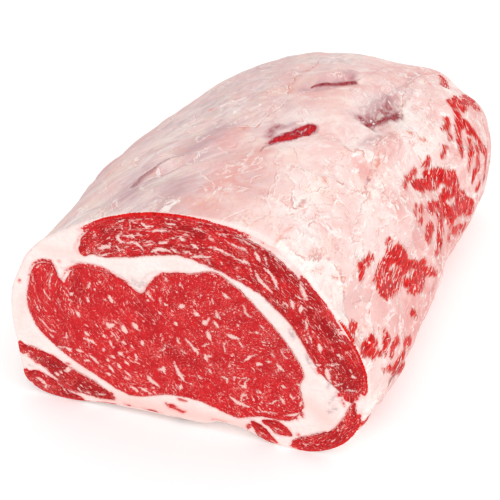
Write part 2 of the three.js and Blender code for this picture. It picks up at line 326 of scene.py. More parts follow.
@dataclass(frozen=True)
class Roast:
    """The whole roast's form: one section that drifts, widens and sinks along its length.

    Attributes:
        centre: the section's middle, which angles are measured round.
        skin_radius: distance from it at which a relief has its full height.
        footprint: the place in this frame that becomes the origin.
        front_rim, back_rim: radii of the rounded rims.
        tuck: how much smaller the muscles' section is inside, reached over tuck_run.
        creep: how far lean spreads at the cut face's outline, and fades over creep_run.
        drift, width, height: shift in x, and scales, at the front, the middle and the back.
        outside: x and z of the section at the front.
    """

    length: float = 284.0
    centre: tuple[float, float] = (13.0, 56.0)
    skin_radius: float = 62.0
    footprint: tuple[float, float] = (21.6, 142.0)
    front_rim: float = 1.4
    back_rim: float = 6.0
    tuck: float = 0.1
    tuck_run: float = 40.0
    creep: float = 2.6
    creep_run: tuple[float, float] = (0.8, 4.0)
    rim_samples: int = 900
    drift: Triple = (0.0, 8.7, 17.6)
    width: Triple = (1.0, 1.026, 0.97)
    height: Triple = (1.0, 1.022, 0.872)
    outside: Pairs = (
        (-61, 0), (-73, 3.2), (-78.3, 9.2), (-79.5, 19), (-80.5, 33), (-82.2, 48), (-80.2, 64), (-75, 77),
        (-70.5, 88.4), (-61, 99.2), (-42, 108.3), (-22, 116.7), (0, 122.3), (20, 124.2), (40, 123.8),
        (56, 120), (70, 112), (82, 98.5), (94.8, 81.8), (104.2, 66), (109, 51), (110.5, 38), (108, 26),
        (102, 13.5), (92.6, 4.4), (80, -0.8), (66, -1), (50, -1), (30, -1), (5, -1), (-20, -1), (-42, -1),
    )

    def along(self, values: Triple, y: Number) -> Number:
        """A value that is front, middle and back along the length, and runs smoothly between."""
        t = y / self.length
        front, middle, back = values
        return front * (1 - t) * (1 - 2 * t) + 4 * middle * t * (1 - t) + back * t * (2 * t - 1)

    def placed(self, section: Array, y: Number) -> Array:
        """Where points of the front section lie at a distance y behind the face.

        Args:
            section: x and z in the last axis.
            y: distances, one for each point or one for all.

        Returns:
            x, y and z in the last axis.
        """
        y = np.broadcast_to(y, section.shape[:-1]).astype(float)
        x = self.centre[0] + self.along(self.drift, y) + (section[..., 0] - self.centre[0]) * self.along(self.width, y)
        return np.stack([x, y, section[..., 1] * self.along(self.height, y)], axis=-1)

    def round_place(self, points: Array) -> tuple[Array, Array, Array]:
        """The angle in degrees, the radius and the outward direction of points round the section's middle.

        Args:
            points: x, y and z in the last axis.

        Returns:
            Three arrays, one value or direction for each point.
        """
        away_x = points[..., 0] - self.centre[0] - self.along(self.drift, points[..., 1])
        away_z = points[..., 2] - self.centre[1]
        radius = np.hypot(away_x, away_z)
        out = np.stack([away_x / radius, np.zeros_like(radius), away_z / radius], axis=-1)
        return np.degrees(np.arctan2(away_z, away_x)), radius, out

    def near_form(self, form: Form, at: Places) -> tuple[Array, Array, Array]:
        """Distance in mm, share passed and offset to the left of a form's line, on the outside.

        Args:
            form: whose line it is.
            at: places on the outside.

        Returns:
            The three, each with one value for each place.
        """
        y, angle, radius = at
        corners = [(y0, math.radians(a0) * radius) for y0, a0 in form.line]
        return near_line(y, np.radians(angle) * radius, corners)

    def relief(self, forms: Sequence[Form], at: Places) -> Array:
        """The summed rise of some forms, each fading out over its reach."""
        return sum(form.faded(*self.near_form(form, at)[:2]) for form in forms)

    def ledges(self, forms: Sequence[Form], at: Places) -> Array:
        """The summed rise of edges that stand up on their line's left and fall away steeply on its right.

        Args:
            forms: the edges.
            at: places on the outside.

        Returns:
            Heights in mm.
        """
        total = np.zeros(at[0].shape)
        for form in forms:
            gap, passed, left = self.near_form(form, at)
            ends = smoothstep(passed, 0.0, 0.2) * (1 - smoothstep(passed, 0.8, 1.0))
            shape = np.exp(-gap / form.reach_at(passed)) * smoothstep(left, -1.1, 1.1)
            total += 0.9 * form.rise * ends * shape
        return total

    def raised(self, points: Array, forms: Sequence[Form]) -> Array:
        """Points moved out by a relief, by all of it at the skin and less deeper in.

        Args:
            points: x, y and z in the last axis.
            forms: of the relief.

        Returns:
            The new points.
        """
        angle, radius, out = self.round_place(points)
        share = np.minimum((radius / self.skin_radius) ** 2, 1.0)
        return points + out * (share * self.relief(forms, (points[..., 1], angle, radius)))[..., None]

    def tucked(self, section: Array, y: float) -> Array:
        """A muscle's section, drawn towards the middle where it lies deeper behind the faces.

        Args:
            section: x and z of its points.
            y: distance behind the front face.

        Returns:
            The new points.
        """
        depth = smoothstep(min(y, self.length - y), 0.0, self.tuck_run)
        share = 1 - self.tuck * depth
        back = 1 - self.back_rim / self.centre[1] * smoothstep(y, self.length / 2, self.length)
        middle = np.array(self.centre)
        return middle + (section - middle) * min(share, back)

    def unplaced(self, points: Array, y: float) -> Array:
        """The front section's points that lie at given places, x and z, at a distance y behind the face.

        Args:
            points: the places.
            y: the distance, the same for all.

        Returns:
            Points of the front section.
        """
        middle = np.array(self.centre)
        x = middle[0] + (points[:, 0] - middle[0] - self.along(self.drift, y)) / self.along(self.width, y)
        section = np.stack([x, points[:, 1] / self.along(self.height, y)], axis=-1)
        share = self.tucked(middle + 1.0, y)[0] - middle[0]
        return middle + (section - middle) / share

    def rim(self) -> Array:
        """The outline of the front cut face."""
        outline = through(np.array(self.outside), self.rim_samples, True)
        return drawn_in(anticlockwise(outline), np.full(self.rim_samples, self.front_rim))

    def creep_at(self, section: Array) -> Array:
        """How far lean spreads past its muscles towards the cut face's outline, in mm."""
        return self.creep * (1 - smoothstep(edge_distance(section, [self.rim()]), *self.creep_run))

    def muscle_ring(self, section: Array, y: float) -> Array:
        """A muscle's section where it lies at a distance y behind the front face."""
        return self.raised(self.placed(self.tucked(section, y), y), SWELLS)

    def to_metres(self, points: Array) -> Array:
        """Points in metres, from the middle of the footprint."""
        return (points - [*self.footprint, 0.0]) * MM

    def limits(self) -> Array:
        """The lowest and the highest corner of the CAD's box."""
        return np.array(CAD_BOX) / MM + [*self.footprint, 0.0]


class End(Enum):
    """One of the two cut faces."""

    FRONT = "front"
    BACK = "back"


def cut_place(roast: Roast, end: End) -> tuple[float, float]:
    """The distance of a cut face behind the front one, and the direction along y that it looks in."""
    return (0.0, -1.0) if end is End.FRONT else (roast.length, 1.0)


# ---------------------------------------------------------------- meshes

def edge_distance(points: Array, loops: Sequence[Array]) -> Array:
    """The distance of each point from the nearest of some closely spaced loops.

    Args:
        points: one row each.
        loops: closely spaced points round each loop.

    Returns:
        One distance for each point, in mm.
    """
    edge = np.vstack(loops)
    best = np.empty(len(points))
    block = 2000
    for start in range(0, len(points), block):
        gap = points[start:start + block, None, :] - edge[None, :, :]
        best[start:start + block] = np.sqrt((gap ** 2).sum(axis=-1).min(axis=1))
    return best


def scattered(loop: Array, spacing: float, margin: float, holes: Sequence[Array], seed: int) -> Array:
    """Points on a jittered triangular grid inside a loop, clear of its edge and of holes.

    Args:
        loop: the outline.
        spacing: distance between points, in mm.
        margin: least distance from the outline and the holes, in mm.
        holes: loops that hold no points.
        seed: of the jitter.

    Returns:
        The points, one row each.
    """
    low, high = loop.min(axis=0), loop.max(axis=0)
    rows = np.arange(low[1], high[1], spacing * math.sqrt(3) / 2)
    columns = np.arange(low[0], high[0], spacing)
    x, z = np.meshgrid(columns, rows)
    x = x + (np.arange(len(rows)) % 2)[:, None] * spacing / 2
    points = np.stack([x.ravel(), z.ravel()], axis=-1)
    points += np.random.default_rng(seed).uniform(-0.15, 0.15, points.shape) * spacing
    keep = inside(points, loop)
    for hole in holes:
        keep &= ~inside(points, hole)
    points = points[keep]
    return points[edge_distance(points, [loop, *holes]) > margin]


def flat_mesh(loops: Sequence[Array], extra: Array, holes: Sequence[Array]) -> tuple[Array, Array]:
    """Triangles that fill a flat outline and keep its loops' points in their order at the start.

    Args:
        loops: the outline and the holes' loops, whose edges are kept.
        extra: free points inside.
        holes: the loops that are left open.

    Returns:
        All the points, and the triangles, anticlockwise.
    """
    points = np.vstack([*loops, extra])
    edges = []
    first = 0
    for loop in loops:
        index = np.arange(len(loop)) + first
        edges += list(zip(index.tolist(), np.roll(index, -1).tolist()))
        first += len(loop)
    result = delaunay_2d_cdt([Vector(p) for p in points], edges, [], 0, 1e-7)
    where = np.array([origins[0] if origins else -1 for origins in result[3]])
    triangles = where[np.array(result[2])]
    middle = points[triangles].mean(axis=1)
    keep = inside(middle, loops[0])
    for hole in holes:
        keep &= ~inside(middle, hole)
    triangles = triangles[keep]
    a, b, c = (points[triangles[:, k]] for k in range(3))
    turn = (b[:, 0] - a[:, 0]) * (c[:, 1] - a[:, 1]) - (b[:, 1] - a[:, 1]) * (c[:, 0] - a[:, 0])
    triangles[turn < 0] = triangles[turn < 0][:, ::-1]
    return points, triangles


@dataclass
class MeshParts:
    """Points, faces and marks of a mesh, gathered piece by piece."""

    points: list[Array] = field(default_factory=list)
    faces: list[Array] = field(default_factory=list)
    slots: list[Array] = field(default_factory=list)
    marks: dict[str, list[Array]] = field(default_factory=dict)
    count: int = 0

    def add_points(self, points: Array, **marks: Array) -> int:
        """Adds points with their marks.

        Args:
            points: x, y and z in mm, one row each.
            marks: three numbers for each point, by name.

        Returns:
            The first point's number.
        """
        first = self.count
        self.points.append(points)
        self.count += len(points)
        for name, values in marks.items():
            self.marks.setdefault(name, []).append(np.broadcast_to(values, (len(points), 3)))
        return first

    def add_faces(self, faces: Array, slot: int = 0) -> None:
        """Adds faces of three or four corners, all with one material slot."""
        self.faces.append(faces)
        self.slots.append(np.full(len(faces), slot))

    def add_wall(self, rings: Sequence[Array], slot: int = 0, outward: bool = True) -> None:
        """Adds the wall over rings of point numbers that follow each other.

        Args:
            rings: point numbers, ring by ring.
            slot: of its material.
            outward: whether it faces away from the middle.
        """
        for here, ahead in zip(rings[:-1], rings[1:]):
            corners = [here, ahead, np.roll(ahead, -1), np.roll(here, -1)]
            wall = np.stack(corners if outward else corners[::-1], axis=-1)
            self.add_faces(wall, slot)

    def add_shell(self, rings: Array, marks: dict[str, Array]) -> None:
        """Adds the wall over rings of points, with the marks of each point."""
        first = self.add_points(rings.reshape(-1, 3), **{name: each.reshape(-1, 3) for name, each in marks.items()})
        self.add_wall(list(first + np.arange(rings[..., 0].size).reshape(rings.shape[:2])))

    def build(self, name: str, roast: Roast, materials: Sequence[Material]) -> Object:
        """The finished object at the origin, in metres.

        Args:
            name: of the object.
            roast: whose frame the points are in.
            materials: one for each slot.

        Returns:
            The object, linked to the scene and smoothly shaded, with points that share a place joined to one. The
            marks belong to the faces' corners, so they may jump where two stretches meet.
        """
        mesh = bpy.data.meshes.new(name)
        points = np.vstack(self.points)
        _, kept, joined = np.unique(np.round(points, 4) + 0.0, axis=0, return_index=True, return_inverse=True)
        joined = joined.ravel()
        faces = [face for group in self.faces for face in joined[group].tolist()]
        mesh.from_pydata(roast.to_metres(points[kept]).tolist(), [], faces)
        for material in materials:
            mesh.materials.append(material)
        mesh.polygons.foreach_set("material_index", np.concatenate(self.slots).astype(np.int32))
        mesh.polygons.foreach_set("use_smooth", np.ones(len(faces), bool))
        corners = np.concatenate([group.ravel() for group in self.faces])
        for mark, values in self.marks.items():
            attribute = mesh.attributes.new(mark, "FLOAT_VECTOR", "CORNER")
            attribute.data.foreach_set("vector", np.vstack(values)[corners].astype(np.float32).ravel())
        mesh.update()
        return new_object(name, mesh)


def new_object(name: str, data: ID) -> Object:
    """A new object in the scene, with its mesh, light or camera.

    Args:
        name: of the object.
        data: what it shows.

    Returns:
        The object.
    """
    thing = bpy.data.objects.new(name, data)
    bpy.context.scene.collection.objects.link(thing)
    return thing


def hand_over(piece: Object, slot: str, *nodes: str) -> None:
    """Has a piece ride with the roast, and stand for some of its solids.

    Args:
        piece: the finished object.
        slot: not used.
        nodes: the solids that it stands for, if any.
    """
    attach(piece, BODY)
    if nodes:
        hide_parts(*nodes)
    LOG.info("%s: %d faces", piece.name, len(piece.data.polygons))


# ---------------------------------------------------------------- node trees

def linear(colour: Colour) -> tuple[float, float, float, float]:
    """A colour of 0 to 255 as Blender's linear one."""
    parts = [c / 255.0 for c in colour]
    return (*[p / 12.92 if p <= 0.04045 else ((p + 0.055) / 1.055) ** 2.4 for p in parts], 1.0)


class Graph:
    """A node tree as it is built, with short calls for the nodes that the finishes use."""

    def __init__(self, tree: NodeTree) -> None:
        """Starts on an empty tree."""
        self.tree = tree

    def feed(self, socket: NodeSocket, value: Socket) -> None:
        """Links a socket to another, or sets its constant."""
        if isinstance(value, NodeSocket):
            self.tree.links.new(value, socket)
        else:
            socket.default_value = value

    def node(self, kind: str, values: Optional[dict] = None, **settings: object) -> Node:
        """A new node.

        Args:
            kind: its type.
            values: the value or link of each input.
            settings: its own settings.

        Returns:
            The node.
        """
        node = self.tree.nodes.new(kind)
        for name, value in settings.items():
            setattr(node, name, value)
        for key, value in (values or {}).items():
            self.feed(node.inputs[key], value)
        return node

    def math(self, operation: str, *values: Socket) -> NodeSocket:
        """The result of a sum on one, two or three values."""
        return self.node("ShaderNodeMath", dict(enumerate(values)), operation=operation).outputs[0]

    def times(self, *values: Socket) -> Socket:
        """The product of values."""
        return reduce(lambda product, value: self.math("MULTIPLY", product, value), values)

    def most(self, *values: Socket) -> Socket:
        """The largest of values."""
        return reduce(lambda largest, value: self.math("MAXIMUM", largest, value), values)

    def plus(self, value: Socket, factor: Socket, rest: Socket) -> NodeSocket:
        """A value times a factor, and the rest."""
        return self.math("MULTIPLY_ADD", value, factor, rest)

    def vector_math(self, operation: str, *values: Socket) -> NodeSocket:
        """The result of a sum on vectors."""
        return self.node("ShaderNodeVectorMath", dict(enumerate(values)), operation=operation).outputs[0]

    def scaled(self, vector: Socket, scale: Socket) -> NodeSocket:
        """A vector times a number."""
        return self.node("ShaderNodeVectorMath", {0: vector, "Scale": scale}, operation="SCALE").outputs[0]

    def mix(self, share: Socket, low: Socket, high: Socket) -> NodeSocket:
        """A colour between two."""
        return self.node("ShaderNodeMix", {0: share, 6: low, 7: high}, data_type="RGBA").outputs[2]

    def blend(self, share: Socket, low: Colour, high: Colour) -> NodeSocket:
        """A colour between two of 0 to 255."""
        return self.mix(share, linear(low), linear(high))

    def smooth(self, value: Socket, low: Socket, high: Socket, floor: float = 0.0, top: float = 1.0
               ) -> NodeSocket:
        """A value that rises smoothly from floor to top between low and high."""
        values = {"Value": value, "From Min": low, "From Max": high, "To Min": floor, "To Max": top}
        return self.node("ShaderNodeMapRange", values, interpolation_type="SMOOTHSTEP").outputs[0]

    def fall(self, value: Socket, low: Socket, high: Socket) -> NodeSocket:
        """A value that falls smoothly from 1 to 0 between low and high."""
        return self.smooth(value, low, high, 1.0, 0.0)

    def noise(self, place: Socket, scale: Socket, detail: float = 2.0, roughness: float = 0.5,
              distortion: float = 0.0) -> NodeSocket:
        """A noise value from 0 to 1."""
        values = {"Vector": place, "Scale": scale, "Detail": detail, "Roughness": roughness, "Distortion": distortion}
        return self.node("ShaderNodeTexNoise", values).outputs[0]

    def cloud(self, place: Socket, scale: Socket, low: float, high: float, *kind: float) -> NodeSocket:
        """Soft patches of a noise with its detail, roughness and distortion: 0 below low and 1 above high."""
        return self.smooth(self.noise(place, scale, *kind), low, high)

    def stretched(self, place: Socket, length: float, width: float, shift: float = 0.0) -> NodeSocket:
        """A place in lengths along its first axis and widths along its second."""
        return self.vector_math("MULTIPLY_ADD", place, (1 / length, 1 / width, 1.0), (shift, 2 * shift, 3 * shift))

    def joined(self, *parts: Socket) -> NodeSocket:
        """A vector of two or three parts."""
        return self.node("ShaderNodeCombineXYZ", dict(enumerate(parts))).outputs[0]

    def attribute(self, name: str) -> NodeSocket:
        """A mark of the mesh, as a vector."""
        return self.node("ShaderNodeAttribute", attribute_name=name).outputs["Vector"]

    def marks(self, name: str) -> Sequence[NodeSocket]:
        """The three parts of a mark of the mesh."""
        return self.node("ShaderNodeSeparateXYZ", {0: self.attribute(name)}).outputs

    def group(self, tree: NodeTree, **values: Socket) -> Sequence[NodeSocket]:
        """The outputs of a group that is placed here with its own values.

        Args:
            tree: the group.
            values: the value or link of each input, by its name in small letters.

        Returns:
            The outputs, to link from.
        """
        node = self.node("ShaderNodeGroup", node_tree=tree)
        for name, value in values.items():
            self.feed(node.inputs[name.capitalize()], value)
        return node.outputs


class Coat:
    """A colour that is built up in layers."""

    def __init__(self, graph: Graph, colour: Socket) -> None:
        """Starts from the lowest layer."""
        self.graph, self.colour = graph, colour

    def lay(self, tint: Colour, *shares: Socket) -> None:
        """Lays a tint of 0 to 255 over the colour, by the product of shares."""
        self.cover(linear(tint), self.graph.times(*shares))

    def cover(self, colour: Socket, share: Socket) -> None:
        """Lays a colour over the one so far."""
        self.colour = self.graph.mix(share, self.colour, colour)


def new_group(name: str, kind: str, inputs: dict[str, str], outputs: dict[str, str]
              ) -> tuple[Graph, Sequence[NodeSocket], Node]:
    """A new node group with named sockets.

    Args:
        name: of the group.
        kind: of tree: Shader or Geometry.
        inputs: the kind of each input, such as Float, Vector or Color.
        outputs: the kind of each output.

    Returns:
        The group's graph, its inputs to link from and its output node.
    """
    tree = bpy.data.node_groups.new(name, kind + "NodeTree")
    for way, sockets in (("INPUT", inputs), ("OUTPUT", outputs)):
        for label, socket in sockets.items():
            tree.interface.new_socket(name=label, in_out=way, socket_type="NodeSocket" + socket)
    return Graph(tree), tree.nodes.new("NodeGroupInput").outputs, tree.nodes.new("NodeGroupOutput")


class Effects:
    """The shader groups that more than one finish uses, each made once."""

    def __init__(self) -> None:
        """Makes the groups."""
        self.flecks = self.make_flecks()
        self.threads = self.make_threads()
        self.grain = self.make_grain()
        self.ragged = self.make_ragged()

    @staticmethod
    def start(name: str, numbers: Sequence[str], results: Sequence[str]
              ) -> tuple[Graph, Sequence[NodeSocket], Node]:
        """A new group that takes a place and numbers, and gives masks."""
        inputs = {"Place": "Vector", **dict.fromkeys(numbers, "Float")}
        return new_group(name, "Shader", inputs, dict.fromkeys(results, "Float"))

    @classmethod
    def make_flecks(cls) -> NodeTree:
        """Uneven flecks, longer one way than the other."""
        graph, given, target = cls.start("Fat flecks", ("Length", "Width", "Amount", "Softness"), ("Mask",))
        size = graph.joined(given["Length"], given["Width"], 1.0)
        bend = graph.node("ShaderNodeTexNoise", {"Vector": given["Place"], "Scale": 0.3, "Detail": 2.0}).outputs[1]
        shift = graph.vector_math("MULTIPLY_ADD", bend, (4.0, 4.0, 0.0), given["Place"])
        crowd = graph.math("SUBTRACT", graph.noise(given["Place"], 0.1, 2.0), 0.5)
        value = graph.noise(graph.vector_math("DIVIDE", shift, size), 1.0, 2.0, 0.5, 0.4)
        low = graph.math("SUBTRACT", 1.0, given["Amount"])
        high = graph.math("ADD", low, given["Softness"])
        graph.feed(target.inputs["Mask"], graph.smooth(graph.plus(crowd, 0.4, value), low, high))
        return graph.tree

    @classmethod
    def make_threads(cls) -> NodeTree:
        """Thin wandering threads, broken into dashes."""
        graph, given, target = cls.start("Fat threads", ("Length", "Width", "Thickness", "Amount"), ("Mask",))
        size = graph.joined(given["Length"], given["Width"], 1.0)
        value = graph.noise(graph.vector_math("DIVIDE", given["Place"], size), 1.0, 2.5, 0.5, 0.5)
        off_middle = graph.math("ABSOLUTE", graph.math("SUBTRACT", value, 0.5))
        line = graph.fall(graph.math("DIVIDE", off_middle, given["Thickness"]), 0.5, 1.0)
        dashes = graph.noise(graph.vector_math("MULTIPLY", given["Place"], (0.21, 0.4, 1.0)), 1.0, 2.0)
        low = graph.math("SUBTRACT", 1.0, given["Amount"])
        graph.feed(target.inputs["Mask"], graph.times(line, graph.smooth(dashes, low, graph.math("ADD", low, 0.05))))
        return graph.tree

    @classmethod
    def make_grain(cls) -> NodeTree:
        """Fine uneven grain of moist flesh or fat: a tone and a height, both from 0 to 1."""
        graph, given, target = cls.start("Moist grain", ("Fine", "Broad"), ("Tone", "Height"))
        fine = graph.noise(given["Place"], given["Fine"], 3.0, 0.65)
        broad = graph.noise(given["Place"], given["Broad"], 2.0, 0.5)
        tone = graph.math("ADD", graph.times(fine, 0.55), graph.times(broad, 0.45))
        graph.feed(target.inputs["Tone"], graph.smooth(tone, 0.3, 0.7))
        graph.feed(target.inputs["Height"], fine)
        return graph.tree

    @classmethod
    def make_ragged(cls) -> NodeTree:
        """A patch given by the distance inside its edge in mm, with that edge torn along one way."""
        graph, given, target = cls.start("Ragged patch", ("Mark", "Length", "Width", "Tear", "Edge"),
                                         ("Mask", "Inside"))
        size = graph.joined(given["Length"], given["Width"], 1.0)
        value = graph.noise(graph.vector_math("DIVIDE", given["Place"], size), 1.0, 4.0, 0.6, 0.4)
        torn = graph.plus(graph.math("SUBTRACT", value, 0.5), given["Tear"], given["Mark"])
        half = graph.times(given["Edge"], 0.5)
        graph.feed(target.inputs["Mask"], graph.smooth(torn, graph.times(half, -1.0), half))
        graph.feed(target.inputs["Inside"], torn)
        return graph.tree


def new_material(name: str) -> tuple[Material, Graph, Node]:
    """A material with its graph and its surface shader.

    Args:
        name: of the material.

    Returns:
        The material, its graph and its surface shader.
    """
    material = bpy.data.materials.new(name)
    material.use_nodes = True
    graph = Graph(material.node_tree)
    material.node_tree.nodes.clear()
    shader = graph.node("ShaderNodeBsdfPrincipled")
    graph.node("ShaderNodeOutputMaterial", {"Surface": shader.outputs[0]})
    return material, graph, shader


@dataclass(frozen=True)
class Moisture:
    """How a surface takes light: gloss, and light that goes in and comes out again."""

    specular: float = 0.35
    depth: float = 0.0025
    weight: float = 0.12
    spread: Triple = (1.0, 0.5, 0.4)
    bump: float = 0.0005

    def dress(self, graph: Graph, shader: Node, colour: Socket, roughness: Socket, height: Socket) -> None:
        """Feeds a surface shader.

        Args:
            graph: of the material.
            shader: its surface shader.
            colour: of the base.
            roughness: of the surface.
            height: of the bumps, where 1 stands for this class's bump in metres.
        """
        bump = graph.node("ShaderNodeBump", {"Height": height, "Distance": self.bump, "Strength": 1.0})
        values = {
            "Base Color": colour, "Roughness": roughness, "Normal": bump.outputs[0], "Subsurface Weight": self.weight,
            "Subsurface Radius": self.spread, "Subsurface Scale": self.depth, "Specular IOR Level": self.specular,
        }
        for name, value in values.items():
            graph.feed(shader.inputs[name], value)


# ---------------------------------------------------------------- finishes

@dataclass(frozen=True)
class LeanFinish:
    """Moist cut lean with marbling.

    The mark "grain" holds the run along the fibres and the offset across them, both in mm. The mark "edge" holds the
    distance from the muscle's edge, and the distances inside the nearest large fleck and the nearest dark spot.
    Flecks are given by length, width and amount, and threads by length, width, thickness and amount.
    """

    name: str
    bright: Colour = (218, 42, 46)
    deep: Colour = (188, 18, 27)
    shadow: Colour = (156, 8, 20)
    fat: Colour = (246, 203, 195)
    haze: Colour = (238, 126, 120)
    big: Triple = (3.4, 1.5, 0.29)
    middle: Triple = (2.1, 1.0, 0.365)
    small: Triple = (1.2, 0.7, 0.45)
    threads: tuple[float, float, float, float] = (6.0, 2.4, 0.022, 0.42)
    middle_share: float = 0.7
    small_share: float = 0.6
    mark_share: float = 0.85
    thinner: float = 0.2
    dark_patches: float = 0.22
    fringe: float = 0.45
    moisture: Moisture = Moisture(specular=0.1, depth=0.0012, weight=0.05, spread=(1.0, 0.25, 0.2), bump=0.0004)

    @staticmethod
    def flecks(graph: Graph, effects: Effects, place: Socket, kind: Triple, softness: float
               ) -> NodeSocket:
        """Where one kind of fleck lies."""
        length, width, amount = kind
        values = {"length": length, "width": width, "amount": amount, "softness": softness}
        return graph.group(effects.flecks, place=place, **values)["Mask"]

    def flesh(self, graph: Graph, effects: Effects, place: Socket, fleck: Socket, spot: Socket
              ) -> tuple[Socket, Socket]:
        """The colour of lean with its marbling, and the share of fat there.

        Args:
            graph: of the material.
            effects: the shared groups.
            place: the run along the fibres and the offset across them.
            fleck: distance inside the nearest large fleck.
            spot: distance inside the nearest dark spot.

        Returns:
            The colour and the share.
        """
        grain = graph.group(effects.grain, place=graph.stretched(place, 1.7, 0.85), fine=0.9, broad=0.2)
        coat = Coat(graph, graph.blend(grain["Tone"], self.deep, self.bright))
        coat.lay(self.shadow, graph.cloud(place, 0.06, 0.48, 0.68), self.dark_patches)
        coat.lay(self.shadow, graph.smooth(spot, -2.5, 2.5), 0.45)
        coat.lay(self.shadow, graph.cloud(graph.stretched(place, 1.6, 0.9, 5.0), 0.75, 0.52, 0.68, 3.0, 0.6), 0.5)
        coat.lay(self.haze, self.flecks(graph, effects, place, self.small, 0.13), self.small_share)
        shifted = graph.stretched(place, 1.0, 1.0, 13.7)
        coat.lay(self.fat, self.flecks(graph, effects, shifted, self.middle, 0.07), self.middle_share)
        length, width, thickness, amount = self.threads
        threads = graph.group(effects.threads, place=place, length=length, width=width, thickness=thickness,
                              amount=amount)
        coat.lay(self.fat, threads["Mask"], 0.6)
        thin = graph.math("SUBTRACT", fleck, self.thinner)
        marked = graph.group(effects.ragged, place=place, mark=thin, length=1.3, width=0.8, tear=3.0, edge=0.9)
        big = graph.times(self.flecks(graph, effects, place, self.big, 0.05), 0.9)
        fat = graph.most(big, graph.times(marked["Mask"], self.mark_share))
        coat.lay(self.fat, fat)
        return coat.colour, fat

    def build(self, effects: Effects) -> Material:
        """The material, made with the shared groups."""
        material, graph, shader = new_material(self.name)
        place = graph.attribute("grain")
        edge, fleck, spot = graph.marks("edge")
        flesh, marbling = self.flesh(graph, effects, place, fleck, spot)
        torn = graph.plus(graph.noise(place, 0.8, 3.0, 0.6), -2.0 * self.fringe, edge)
        fat = graph.most(marbling, graph.fall(torn, -self.fringe, 0.3 - self.fringe))
        colour = graph.mix(fat, flesh, linear(self.fat))
        height = graph.plus(fat, 0.5, graph.noise(place, 0.9, 3.0, 0.65))
        self.moisture.dress(graph, shader, colour, graph.plus(fat, 0.08, 0.4), height)
        return material


@dataclass(frozen=True)
class CutFatFinish:
    """Smooth pale fat on the cut faces.

    The mark "tints" holds lilac and blush stains. "marks" holds the distances inside lean marks and inside the
    nearest muscle, in mm, and "grain" the run along that muscle's fibres and the offset across them.
    """

    name: str = "cut fat"
    pale: Colour = (251, 236, 232)
    blush: Colour = (247, 220, 215)
    rosy: Colour = (246, 200, 192)
    lilac: Colour = (184, 160, 162)
    bleed: Colour = (240, 160, 154)
    lean: LeanFinish = LeanFinish("stray lean", dark_patches=0.5)
    moisture: Moisture = Moisture(specular=0.2, depth=0.003, weight=0.15, spread=(1.0, 0.6, 0.5), bump=0.0004)

    def build(self, effects: Effects) -> Material:
        """The material, made with the shared groups."""
        material, graph, shader = new_material(self.name)
        place = graph.attribute("round")
        lilac, blush, _ = graph.marks("tints")
        lean, muscle, _ = graph.marks("marks")
        grain = graph.group(effects.grain, place=place, fine=0.5, broad=0.06)
        coat = Coat(graph, graph.blend(grain["Tone"], self.pale, self.blush))
        coat.lay(self.rosy, blush, 0.8)
        torn = graph.plus(graph.noise(place, 0.7, 3.0, 0.6), 1.6, muscle)
        near = graph.most(torn, graph.math("ADD", lean, 0.8))
        coat.lay(self.bleed, graph.smooth(near, -1.0, 0.7), 0.5)
        coat.lay(self.lilac, lilac, graph.cloud(place, 0.6, 0.3, 0.55, 3.0, 0.6), 0.8)
        patch = graph.group(effects.ragged, place=place, mark=lean, length=2.0, width=0.9, tear=3.0, edge=0.9)
        flesh, _ = self.lean.flesh(graph, effects, graph.attribute("grain"), FAR_OUT, FAR_OUT)
        coat.cover(flesh, graph.most(patch["Mask"], graph.smooth(torn, 0.42, 0.62)))
        height = graph.times(grain["Height"], 0.5)
        self.moisture.dress(graph, shader, coat.colour, graph.plus(grain["Tone"], 0.1, 0.42), height)
        return material


